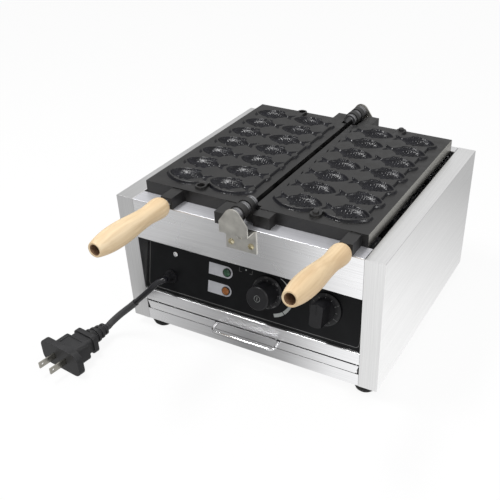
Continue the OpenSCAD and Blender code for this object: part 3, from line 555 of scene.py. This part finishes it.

# %% [markdown]
# ## Wood
# The grips are a pale close-grained wood, turned and sanded. A noise that is stretched along the grip gives
# the slow bands of its growth rings, a finer one the darker grain, and the finest its pores. Inside the hole
# at the open end the wood is a dark brown, which is painted shade.

# %% Wood
def wood_finish(name):
    paint, tree, body = shader(name, (0.8, 0.64, 0.42), 0.5)
    grain = object_noise(tree, (160, 5, 160), 5, 0.6)
    rings = object_noise(tree, (38, 2.2, 38), 2, 0.4)
    pores = object_noise(tree, (900, 40, 900), 3, 0.5)
    tone = ramp(tree, rings, [(0.32, (0.69, 0.495, 0.29)), (0.5, (0.79, 0.61, 0.385)),
                              (0.7, (0.87, 0.705, 0.48))])
    fine = ramp(tree, grain, [(0.32, (0.80, 0.735, 0.65)), (0.60, (1, 1, 1))])
    mix = node(tree, "Mix", data_type="RGBA", blend_type="MULTIPLY")
    mix.inputs[0].default_value = 0.8
    tree.links.new(tone, mix.inputs[6])
    tree.links.new(fine, mix.inputs[7])
    tree.links.new(mix.outputs[2], body.inputs["Base Color"])
    tree.links.new(span(tree, grain, 0.42, 0.58), body.inputs["Roughness"])
    bump(tree, body, pores, 0.12, 0.0001)
    return paint


wood = wood_finish("wood_pale")
# Dark brown for the inside of the grip's hole: painted shade.
hole_painted_shade = grainy("wood_end_hole_painted_shade", (0.13, 0.070, 0.034), (0.27, 0.155, 0.085),
                   (0.6, 0.8), 700, 0.4, coarse=200)
print("wood finishes made")

# %% Give every CAD node its finish
finishes = {
    "brushed_steel": steel_across, "bright_steel": steel_bright, "black_panel": panel_black,
    "label_foil": foil, "black_plastic": knob_black, "green_lens": lens_green, "orange_lens": lens_orange,
    "dark_steel": steel_dark, "ceramic_white": ceramic, "nickel_plate": nickel, "screw_brass": yellow_zinc,
    "coated_casting": casting, "pale_wood": wood, "black_rubber": rubber_black, "cord_black": sheath_grey,
    "plug_plastic": plug_grey, "blade_brass": blade_metal,
}
slot_of = {row["node"]: row["material_slot"] for row in frame["record"]["subparts"]}
for node_name, node_object in frame["nodes"].items():
    paint = finishes[slot_of[node_name]]
    if node_name.startswith("side_casing"):
        paint = steel_deep
    elif node_name == "drip_tray":
        paint = steel_across
    elif node_name == "hinge_collars":
        paint = steel_collar
    node_object.data.materials.clear()
    node_object.data.materials.append(paint)
lead.data.materials.append(lead_black)
sheath.data.materials.append(sheath_grey)
print(len(frame["nodes"]), "nodes painted")

# %% [markdown]
# ## Mould faces
# A mould face is a cast heightfield: a raised field with a wavy edge, fourteen fish pressed into it, and
# scales, eyes and fin rays inside each fish. Scales are far too regular and too many to push by hand, so a
# grid is laid over the field and each of its points is lifted to a computed height. The broad shape is
# probed from the CAD casting, averaged over four probes a cell so that steep walls stay smooth, and the
# relief is added on top in each fish's own coordinates. The rest of the casting is a copy with soft edges.

# %% Layout of the fish, from the casing's own sizes
inner_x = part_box("side_casing_right")[0][0] / MM
gap_half = 4.5
plate_side = inner_x - 7
plate_w = plate_side - gap_half
panel_high = panel_rise / MM
ledge_depth = panel_setback + panel_high * math.tan(panel_tilt) + 3.6
plate_front = front_y / MM + ledge_depth - 1.5
plate_back = casing_high.y / MM - 19.5
rim_z = deck_z / MM + 0.3 + 19
field_z = rim_z + 4
pitch_x = 0.408 * plate_w
pitch_y = 0.1272 * (plate_back - plate_front)
fish_x = gap_half + 0.2925 * plate_w
fish_y = (plate_front + plate_back) / 2 - 1.5 - 3 * pitch_y
fish_l = 0.96 * pitch_x
fish_b = 0.33 * pitch_y
peg_x = 0.52 * plate_side
peg_ys = (plate_front + 17, plate_back - 9)
fish_places = [(fish_x + c * pitch_x, fish_y + k * pitch_y) for c in range(2) for k in range(7)]
print(len(fish_places), "fish", round(fish_l, 1), "mm long, plate from",
      round(plate_front, 2), "to", round(plate_back, 2))


# %% Relief inside one fish: u runs to the head, v to the back
def rise(value, low, high):
    """A smooth step from 0 at low to 1 at high."""
    t = np.clip((value - low) / (high - low), 0, 1)
    return t * t * (3 - 2 * t)


def scales(u, v, step_u=3.9, step_v=4.8, reach=3.3):
    """Overlapping domes: the row nearest the head that covers a point wins."""
    height = np.zeros_like(u)
    free = np.ones_like(u, bool)
    first = np.ceil((u + reach) / step_u)
    for back in range(3):
        row = first - back
        offset = np.where(row % 2 == 0, 0, step_v / 2)
        across = (v + offset + step_v / 2) % step_v - step_v / 2
        away = np.hypot(u - row * step_u, across)
        hit = free & (away < reach)
        height[hit] = 1 - (away[hit] / reach) ** 2
        free &= ~hit
    return height


PATTERN = 61.1


def fin_rays(u, v, slope, start, end):
    """Slanting rays along the back or the belly, faded out towards the head."""
    lines = np.cos(2 * np.pi * (u + slope * v) / 2.5)
    return 0.30 * lines * rise(v if slope > 0 else -v, 9.5, 12) * (1 - rise(u, start, end))


def fish_relief(u, v, depth):
    """Relief in millimetres, drawn for a fish of the pattern's length and scaled to this one."""
    scale = fish_l / PATTERN
    u, v = u / scale, v / scale
    eye_u, eye_v = 0.315 * PATTERN, 1.8
    eye_r = np.hypot(u - eye_u, v - eye_v)
    gill_r = np.hypot(u - (eye_u - 1), v)
    in_body = rise(depth, 3.6, 5.2)
    # scales, from the gill to the root of the tail
    behind = rise(gill_r, 12.4, 13.6) * rise(eye_u - 2 - u, 0, 3) * rise(u, -17, -13)
    relief = 1.35 * (0.45 - scales(u, v)) * in_body * behind
    # rings round the eye, and its pupil
    relief += 0.62 * np.cos(2 * np.pi * eye_r / 2.9) * (1 - rise(eye_r, 6.6, 9.4))
    relief -= 0.9 * (1 - rise(eye_r, 0.5, 1.9))
    # gill line and mouth
    relief += 0.5 * np.exp(-((gill_r - 14) / 0.7) ** 2) * rise(eye_u - 4 - u, 0, 2) * in_body
    mouth = np.hypot(np.clip(25.5 - u, 0, None), v + 1.6 - 0.25 * (u - 25.5))
    relief -= 0.7 * np.exp(-(mouth / 0.8) ** 2) * rise(depth, 1.5, 3)
    # rays in the shallow tail and fins
    shallow = rise(depth, 1.2, 2.0) * (1 - rise(depth, 2.6, 3.4))
    turn = np.arctan2(v, -(u + 8))
    relief += 0.32 * np.cos(turn * 24) * shallow * (1 - rise(u, -16, -13))
    relief += shallow * (fin_rays(u, v, 0.45, 16, 19) + fin_rays(u, v, -0.45, 14, 17))
    # leaf-shaped side fin
    fin_u = (u - 4.5) * 0.94 + (v + 4.2) * 0.34
    fin_v = -(u - 4.5) * 0.34 + (v + 4.2) * 0.94
    leaf = np.hypot(fin_u / 6.2, fin_v / 2.9)
    leaf_lines = 0.55 + 0.22 * np.cos(2 * np.pi * fin_v / 1.5)
    return relief + leaf_lines * (1 - rise(leaf, 0.82, 1.05)) * in_body


# %% Heights of the whole field, in millimetres
cell = 0.7
grid_x = np.arange(fish_x - 41.5, fish_x + pitch_x + 41.5, cell)
grid_y = np.arange(fish_y - 24.5, fish_y + 6 * pitch_y + 24.5, cell)


def on_grid(value, lines):
    """The grid line next to a place, or the place itself where the grid doesn't reach."""
    return lines[np.abs(lines - value).argmin()] if lines[0] < value < lines[-1] else value


peg_half = 10.4
peg_squares = [[on_grid(peg_x - peg_half, grid_x), on_grid(peg_x + peg_half, grid_x),
                on_grid(peg_y - peg_half, grid_y), on_grid(peg_y + peg_half, grid_y)] for peg_y in peg_ys]
casting_mesh = frame["nodes"]["mould_right"].data
probe = BVHTree.FromPolygons([v.co[:] for v in casting_mesh.vertices],
                             [p.vertices[:] for p in casting_mesh.polygons])
down = Vector((0, 0, -1))
probe_z = 0.3


def probed(x, y):
    """Height of the CAD casting, found by a ray from above."""
    hit = probe.ray_cast(Vector((x * MM, y * MM, probe_z)), down)[0]
    return hit.z / MM if hit else rim_z


quarter = cell / 4
around = [(a, b) for a in (-quarter, quarter) for b in (-quarter, quarter)]
probe_grid = np.array([[sum(probed(x + a, y + b) for a, b in around) / 4 for y in grid_y] for x in grid_x])


def softened(heights):
    """Each height averaged with its neighbours, first across and then along."""
    for axis in (0, 1):
        heights = (np.roll(heights, 1, axis) + 2 * heights + np.roll(heights, -1, axis)) / 4
    return heights


heights = softened(probe_grid)
all_x, all_y = np.meshgrid(grid_x, grid_y, indexing="ij")
for place_x, place_y in fish_places:
    u, v = all_x - place_x, all_y - place_y
    near = (np.abs(u) < pitch_x / 2) & (np.abs(v) < pitch_y / 2)
    heights[near] += fish_relief(u[near], v[near], field_z - heights[near])
casting_floor = rim_z - 20
heights = np.maximum(heights, casting_floor)
print("field grid", heights.shape, "deepest", round(field_z - heights.min(), 2), "mm")


# %% Lay the grid and lift it
def in_fish(x, y):
    """Whether a place of the field is inside one of the pressed fish."""
    column, row = int(round((x - fish_x) / pitch_x)), int(round((y - fish_y) / pitch_y))
    u, v = x - fish_x - column * pitch_x, y - fish_y - row * pitch_y
    half_width = 1.38 * fish_b * (1 - 0.3 * (2 * u / fish_l) ** 2)
    return 0 <= column < 2 and 0 <= row < 7 and abs(u) < 0.51 * fish_l and abs(v) < half_width


rim_reach = 0.12


def mould_face(name, side, body_name):
    """Lays the grid over one mould; side is -1 for the left one, which is the mirror image."""
    deselect_all()
    bpy.ops.mesh.primitive_grid_add(x_subdivisions=len(grid_x) - 1, y_subdivisions=len(grid_y) - 1, size=1)
    piece = named(name)
    raw = np.empty(len(piece.data.vertices) * 3)
    piece.data.vertices.foreach_get("co", raw)
    raw = raw.reshape(-1, 3)
    column = np.rint((raw[:, 0] + 0.5) * (len(grid_x) - 1)).astype(int)
    row = np.rint((raw[:, 1] + 0.5) * (len(grid_y) - 1)).astype(int)
    if side < 0:
        column = len(grid_x) - 1 - column
    x, y, z = grid_x[column], grid_y[row], heights[column, row]
    on_rim = np.abs(z - rim_z) < rim_reach
    z = np.where(on_rim, rim_z + 0.012, z)
    at_peg = [(x > x0 - 0.01) & (x < x1 + 0.01) & (y > y0 - 0.01) & (y < y1 + 0.01)
              for x0, x1, y0, y1 in peg_squares]
    piece.data.vertices.foreach_set("co", (np.stack([side * x, y, z], 1) * MM).ravel())
    corners = np.empty(len(piece.data.polygons) * 4, int)
    piece.data.polygons.foreach_get("vertices", corners)
    corners = corners.reshape(-1, 4)
    unused = on_rim[corners].all(1) | at_peg[0][corners].all(1) | at_peg[1][corners].all(1)
    edit_faces(piece, unused)
    bpy.ops.mesh.delete(type="FACE")
    bpy.ops.mesh.select_all(action="DESELECT")
    bpy.ops.mesh.select_mode(type="EDGE")
    bpy.ops.mesh.select_non_manifold(extend=False, use_wire=False, use_multi_face=False,
                                     use_non_contiguous=False, use_verts=False)
    bpy.ops.mesh.extrude_region_move(TRANSFORM_OT_translate={"value": (0, 0, -0.0006)})
    bpy.ops.object.mode_set(mode="OBJECT")
    bpy.ops.object.shade_smooth()
    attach(piece, body_name)
    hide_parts("mould_left" if side < 0 else "mould_right")
    piece.data.materials.append(casting)
    piece.data.materials.append(deep_gloss_painted_shade)
    # faces deeper than 0.9 mm, and fish faces deeper than 0.15 mm, take the darker glossy finish: painted
    # shade in the hollows and on the field's walls
    for polygon in piece.data.polygons:
        x, y, z = (value / MM for value in polygon.center)
        depth = field_z - z
        polygon.material_index = int(depth > 0.9 or depth > 0.15 and in_fish(side * x, y))
    print(name, len(piece.data.vertices), "points")


mould_face("mould_left_face", -1, "left_mould_body")
mould_face("mould_right_face", 1, "right_mould_body")

# %% [markdown]
# ## Castings and folded sheet with soft edges
# Sheet metal is never sharp: a fold has a radius and a cut edge is deburred, and both catch a line of light.
# A casting is rounded by its mould and its coating. The CAD nodes already have their shape, so a copy of
# each is merged, its flat triangles are dissolved, and a narrow bevel goes round what is still sharp.

# %% Copies with deburred edges
def body_of_node(node_name):
    for body_name, node_names in frame["record"]["behaviour"]["bodies"].items():
        if node_name in node_names:
            return body_name


def copied(node_name):
    """A merged copy of a CAD node that stands for it."""
    source = frame["nodes"][node_name]
    piece = bpy.data.objects.new(node_name + "_finished", source.data.copy())
    piece.data.name = piece.name
    bpy.context.collection.objects.link(piece)
    pick(piece)
    if piece.data.has_custom_normals:
        bpy.ops.mesh.customdata_custom_splitnormals_clear()
    bpy.ops.object.mode_set(mode="EDIT")
    bpy.ops.mesh.select_mode(type="VERT")
    bpy.ops.mesh.select_all(action="SELECT")
    bpy.ops.mesh.remove_doubles(threshold=0.000004)
    bpy.ops.object.mode_set(mode="OBJECT")
    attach(piece, body_of_node(node_name))
    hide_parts(node_name)
    return piece


def deburr(piece, width):
    """Joins flat triangles, bevels what is sharp, and keeps the large faces even in shade."""
    pick(piece)
    bpy.ops.object.mode_set(mode="EDIT")
    bpy.ops.mesh.select_all(action="SELECT")
    bpy.ops.mesh.dissolve_limited(angle_limit=math.radians(1))
    bpy.ops.object.mode_set(mode="OBJECT")
    soften(piece, width)
    smooth(piece)
    add_modifier(piece, "WEIGHTED_NORMAL", mode="FACE_AREA", weight=50, keep_sharp=True)
    print(piece.name, len(piece.data.polygons), "faces")
    return piece


def repaint(piece, paint, is_chosen):
    """Gives the chosen faces of a copy a second finish."""
    piece.data.materials.append(paint)
    for polygon in piece.data.polygons:
        polygon.material_index = int(is_chosen(polygon.normal))


edge_widths = {
    "side_casing_left": 0.4, "side_casing_right": 0.4, "front_cover": 0.3, "rear_cover": 0.3,
    "base_pan": 0.3, "front_strip": 0.3, "drip_tray": 0.3, "control_panel": 0.3, "hinge_brackets": 0.5,
    "plug_body": 0.9, "feet": 0.9, "cable_gland": 0.4, "label_plates": 0.1, "handle_nuts_left": 0.5,
    "handle_nuts_right": 0.5, "thermostat_knob": 0.6, "timer_knob": 0.6, "hinge_collars": 0.4,
}
for node_name, width in edge_widths.items():
    piece = deburr(copied(node_name), width * MM)
    if node_name == "front_cover":
        # the cover's upward faces get the darker ledge steel: painted shade
        repaint(piece, steel_ledge_painted_shade, lambda normal: normal.z > 0.8)
    elif node_name.startswith("side_casing"):
        # the forward faces of the side casings get the darker steel: painted shade
        repaint(piece, steel_upright_painted_shade, lambda normal: normal.y < -0.8)


# %% Casting bodies, opened where the face piece lies
field_from, field_deep = 13, 11.4


def over_field(x, y, z):
    """Whether a place lies under the grid, on the upper part of the casting."""
    return (field_from < x < plate_side - 0.5 and plate_front + 1 < y < plate_back - 1
            and z > field_z - field_deep)


def casting_body(node_name, side):
    piece = copied(node_name)

    def places():
        for polygon in piece.data.polygons:
            yield polygon, side * polygon.center.x / MM, polygon.center.y / MM, polygon.center.z / MM

    def delete_covered(whole_faces):
        chosen = []
        for polygon, x, y, z in places():
            if whole_faces:
                corners = [piece.data.vertices[i].co / MM for i in polygon.vertices]
                xs, ys = [side * c.x for c in corners], [c.y for c in corners]
            else:
                xs, ys = [x], [y]
            at_peg = any(max(xs) > x0 and min(xs) < x1 and max(ys) > y0 and min(ys) < y1
                         for x0, x1, y0, y1 in peg_squares)
            flat_rim = abs(z - rim_z) < 0.01 and polygon.normal.z > 0.99
            chosen.append(over_field(x, y, z) and not flat_rim and not at_peg)
        edit_faces(piece, chosen)
        bpy.ops.mesh.delete(type="FACE")
        bpy.ops.object.mode_set(mode="OBJECT")

    delete_covered(True)
    for x0, x1, y0, y1 in peg_squares:
        for place, direction in (((side * x0, y0), (1, 0, 0)), ((side * x1, y0), (1, 0, 0)),
                                 ((side * x0, y0), (0, 1, 0)), ((side * x0, y1), (0, 1, 0))):
            edit_faces(piece, [over_field(x, y, z) for polygon, x, y, z in places()])
            bpy.ops.mesh.bisect(plane_co=(place[0] * MM, place[1] * MM, 0), plane_no=direction)
            bpy.ops.object.mode_set(mode="OBJECT")
    delete_covered(False)
    deburr(piece, 0.6 * MM)
    piece.data.materials.append(machined)
    for polygon, x, y, z in places():
        outer_side = side * polygon.normal.x > 0.9 and x > plate_side - 0.7
        near_edge = abs(z - rim_z) < 0.8 and min(abs(x - gap_half), abs(x - plate_side)) < 0.8
        worn_edge = near_edge and 0.3 < polygon.normal.z < 0.95
        polygon.material_index = int(outer_side or worn_edge)


casting_body("mould_left", -1)
casting_body("mould_right", 1)

# %% [markdown]
# ## Turned wooden grips
# A grip is turned between centres: a bulb at the neck, a slim waist, a full belly and a rounded end with the
# hole for its nut. It could be spun from a drawn profile, but here it is a circle extruded ring by ring along
# its axis, because each ring then takes its radius from one formula, and the hole is simply the same profile
# carried on inwards.

# %% Grips
grip_len = 148
grip_r = 16.5
bulb_t, waist_t, belly_t = 0.08, 0.27, 0.68
hole_r = 7.2
lug_ahead, rod_high = 1.5, 8.9


def grip_radius(t):
    """Radius at a share t of the length: bulb, waist, belly and rounded end."""
    if t < bulb_t:
        part = 0.92 - 0.26 * (1 - t / bulb_t) ** 2.4
    elif t < waist_t:
        part = 0.8 + 0.12 * math.cos(math.radians(90 * (t - bulb_t) / (waist_t - bulb_t))) ** 2
    elif t < belly_t:
        part = 0.8 + 0.2 * math.sin(math.radians(90 * (t - waist_t) / (belly_t - waist_t))) ** 2
    else:
        part = 1 - 0.36 * ((t - belly_t) / (1 - belly_t)) ** 2.4
    return grip_r * part


def wooden_grip(side_name, rod_x, tilt_up):
    rings = 60
    end_r = grip_radius(1)
    stations = [(i / rings * grip_len, grip_radius(i / rings)) for i in range(rings)]
    stations += [(grip_len - 0.5, end_r), (grip_len, end_r - 0.6), (grip_len, hole_r + 1.4),
                 (grip_len - 0.6, hole_r + 0.6), (grip_len - 1.4, hole_r), (grip_len - 24, hole_r)]
    piece = turned("wooden_grip_" + side_name, [(h * MM, r * MM) for h, r in stations])
    tilt = math.radians(tilt_up)
    direction = Vector((0, -math.cos(tilt), math.sin(tilt)))
    lug = Vector((rod_x, front_y - lug_ahead * MM, deck_z + rod_high * MM))
    nut_len = 8 * MM
    piece.data.transform(axis_frame(lug + direction * nut_len, direction))
    face_outwards(piece)
    smooth(piece, 50)
    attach(piece, side_name + "_mould_body")
    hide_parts("grip_" + side_name)
    piece.data.materials.append(wood)
    # faces inside the hole at the open end get the dark brown: painted shade
    piece.data.materials.append(hole_painted_shade)
    for polygon in piece.data.polygons:
        away = (polygon.center - lug).cross(direction).length
        deep = (polygon.center - lug).dot(direction)
        if away < (hole_r + 0.4) * MM and deep > 60 * MM:
            polygon.material_index = 1
    print(piece.name, len(piece.data.polygons), "faces")


def middle_x(node_name):
    low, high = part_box(node_name)
    return (low[0] + high[0]) / 2


for side_name, tilt_up in (("left", 2), ("right", 6.5)):
    wooden_grip(side_name, middle_x("handle_rod_" + side_name), tilt_up)

# %% [markdown]
# ## Printing on the panel
# The black panel carries a thin rounded border, a scale that tapers round the thermostat and a few marks.
# Screen print is only microns thick, so each mark is a flat curve, made a mesh and laid a hair above the
# panel, and the numbers are plain ones from Blender's own lettering.

# %% Flat marks
panel_place = Matrix.Translation(panel_foot) @ Matrix(((1, 0, 0, 0), (0, panel_up.y, panel_out.y, 0),
                                                       (0, panel_up.z, panel_out.z, 0), (0, 0, 0, 1)))
thermostat_x = middle_x("thermostat_knob") / MM
timer_x = middle_x("timer_knob") / MM
panel_len = panel_high / math.cos(panel_tilt)
knob_row = 0.53 * panel_len


def finish_print(piece, lift, paint, body_name):
    """Makes a flat curve a mesh and lays it a hair above the panel."""
    pick(piece)
    bpy.ops.object.convert(target="MESH")
    piece = bpy.context.object
    piece.data.transform(panel_place @ Matrix.Translation((0, 0, lift * MM)) @ piece.matrix_basis)
    piece.matrix_basis = Matrix.Identity(4)
    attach(piece, body_name)
    piece.data.materials.clear()
    piece.data.materials.append(paint)
    print(piece.name, len(piece.data.polygons), "faces")


def printed(name, loops, paint, lift=0.04, body_name="casing"):
    """Screen print from closed loops in panel millimetres; a loop inside another is a hole."""
    curve = bpy.data.curves.new(name, "CURVE")
    curve.dimensions = "2D"
    curve.fill_mode = "BOTH"
    curve.extrude = 0.00002
    for loop in loops:
        line = curve.splines.new("POLY")
        line.points.add(len(loop) - 1)
        for point, (x, y) in zip(line.points, loop):
            point.co = (x * MM, y * MM, 0, 1)
        line.use_cyclic_u = True
    piece = bpy.data.objects.new(name, curve)
    bpy.context.collection.objects.link(piece)
    finish_print(piece, lift, paint, body_name)


def arc(x, y, r, a0, a1, steps=24):
    return [(x + r * math.cos(math.radians(a0 + (a1 - a0) * i / steps)),
             y + r * math.sin(math.radians(a0 + (a1 - a0) * i / steps))) for i in range(steps + 1)]


def rounded_box(x0, y0, x1, y1, r):
    return (arc(x1 - r, y0 + r, r, -90, 0, 8) + arc(x1 - r, y1 - r, r, 0, 90, 8)
            + arc(x0 + r, y1 - r, r, 90, 180, 8) + arc(x0 + r, y0 + r, r, 180, 270, 8))


printed("panel_border", [rounded_box(-181.6, 4.6, 181.6, panel_len - 3.2, 6),
                         rounded_box(-180.7, 5.5, 180.7, panel_len - 4.1, 5.1)], print_grey)


def band(stations, steps=12):
    """A curved band round the thermostat from (angle, radius, width) stations."""
    outer, inner = [], []
    for (a0, r0, w0), (a1, r1, w1) in zip(stations, stations[1:]):
        for i in range(steps + 1):
            t = i / steps
            angle = math.radians(a0 + (a1 - a0) * t)
            middle, half = r0 + (r1 - r0) * t, (w0 + (w1 - w0) * t) / 2
            for edge, radius in ((outer, middle + half), (inner, middle - half)):
                edge.append((thermostat_x + radius * math.cos(angle), knob_row + radius * math.sin(angle)))
    return outer + inner[::-1]


printed("heat_scale", [band([(-69, 36.6, 5.4), (-56, 37.6, 5.4), (-44, 38.6, 5.2)]),
                       band([(-42, 38.7, 5.2), (-20, 40, 4.4), (0, 39.5, 3.4), (20, 37, 2.4),
                             (40, 34, 1.5), (54, 32, 0.9)])], print_pale)
printed("panel_dot", [arc(-8.8, 74.4, 1.2, 0, 345, 23)], print_pale)
printed("panel_corner_marks",
        [[(-20.4, 76), (-20.4, 69.4), (-15.5, 69.4), (-15.5, 70), (-19.8, 70), (-19.8, 76)],
         [(2, 76), (2, 69.4), (-2.9, 69.4), (-2.9, 70), (1.4, 70), (1.4, 76)]], print_grey)


# %% Dial numbers and pointer marks
rim_r, rim_high, rim_slope = 23.2, 4.55, -32.2


def dial_number(name, text, x, angle, body_name):
    """A number laid on the sloping rim of a dial, its foot towards the middle."""
    deselect_all()
    bpy.ops.object.text_add()
    piece = named(name)
    piece.data.body = text
    piece.data.size = 4.2 * MM
    piece.data.align_x = piece.data.align_y = "CENTER"
    piece.data.extrude = 0.00002
    pick(piece)
    bpy.ops.object.convert(target="MESH")
    piece = bpy.context.object
    on_rim = (Matrix.Translation((0, rim_r * MM, rim_high * MM))
              @ Matrix.Rotation(math.radians(rim_slope), 4, "X"))
    piece.data.transform(panel_place @ Matrix.Translation((x * MM, knob_row * MM, 0))
                         @ Matrix.Rotation(math.radians(angle - 90), 4, "Z") @ on_rim)
    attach(piece, body_name)
    piece.data.materials.append(print_grey)


skirt_top, cap_top = 5.74, 32.54
for k, text in enumerate(("0", "50", "100", "150", "200", "250", "300")):
    dial_number("thermostat_number_" + text, text, thermostat_x, 248 - 50 * k, "thermostat_knob_body")
for k, text in enumerate(("0", "1", "2", "3", "4", "5")):
    dial_number("timer_number_" + text, text, timer_x, 90 - 60 * k, "timer_knob_body")
for body_name, x, first, count in (("thermostat_knob_body", thermostat_x, -60, 11),
                                   ("timer_knob_body", timer_x, 0, 12)):
    marks = []
    for k in range(count):
        a = math.radians(first + 30 * k)
        c, s = math.cos(a), math.sin(a)
        marks.append([(x + r * c - w * s, knob_row + r * s + w * c)
                      for r, w in ((17.6, -0.4), (20.8, -0.4), (20.8, 0.4), (17.6, 0.4))])
    printed(body_name.replace("_body", "_ticks"), marks, print_grey, skirt_top, body_name)
printed("thermostat_ring", [arc(thermostat_x, knob_row, r, 0, 352, 44) for r in (5.1, 4.4)],
        print_pale, cap_top, "thermostat_knob_body")
printed("thermostat_stroke", [[(thermostat_x + x, knob_row + y)
                               for x, y in ((-0.4, -3.1), (0.4, -3.1), (0.4, 3.1), (-0.4, 3.1))]],
        print_pale, cap_top, "thermostat_knob_body")
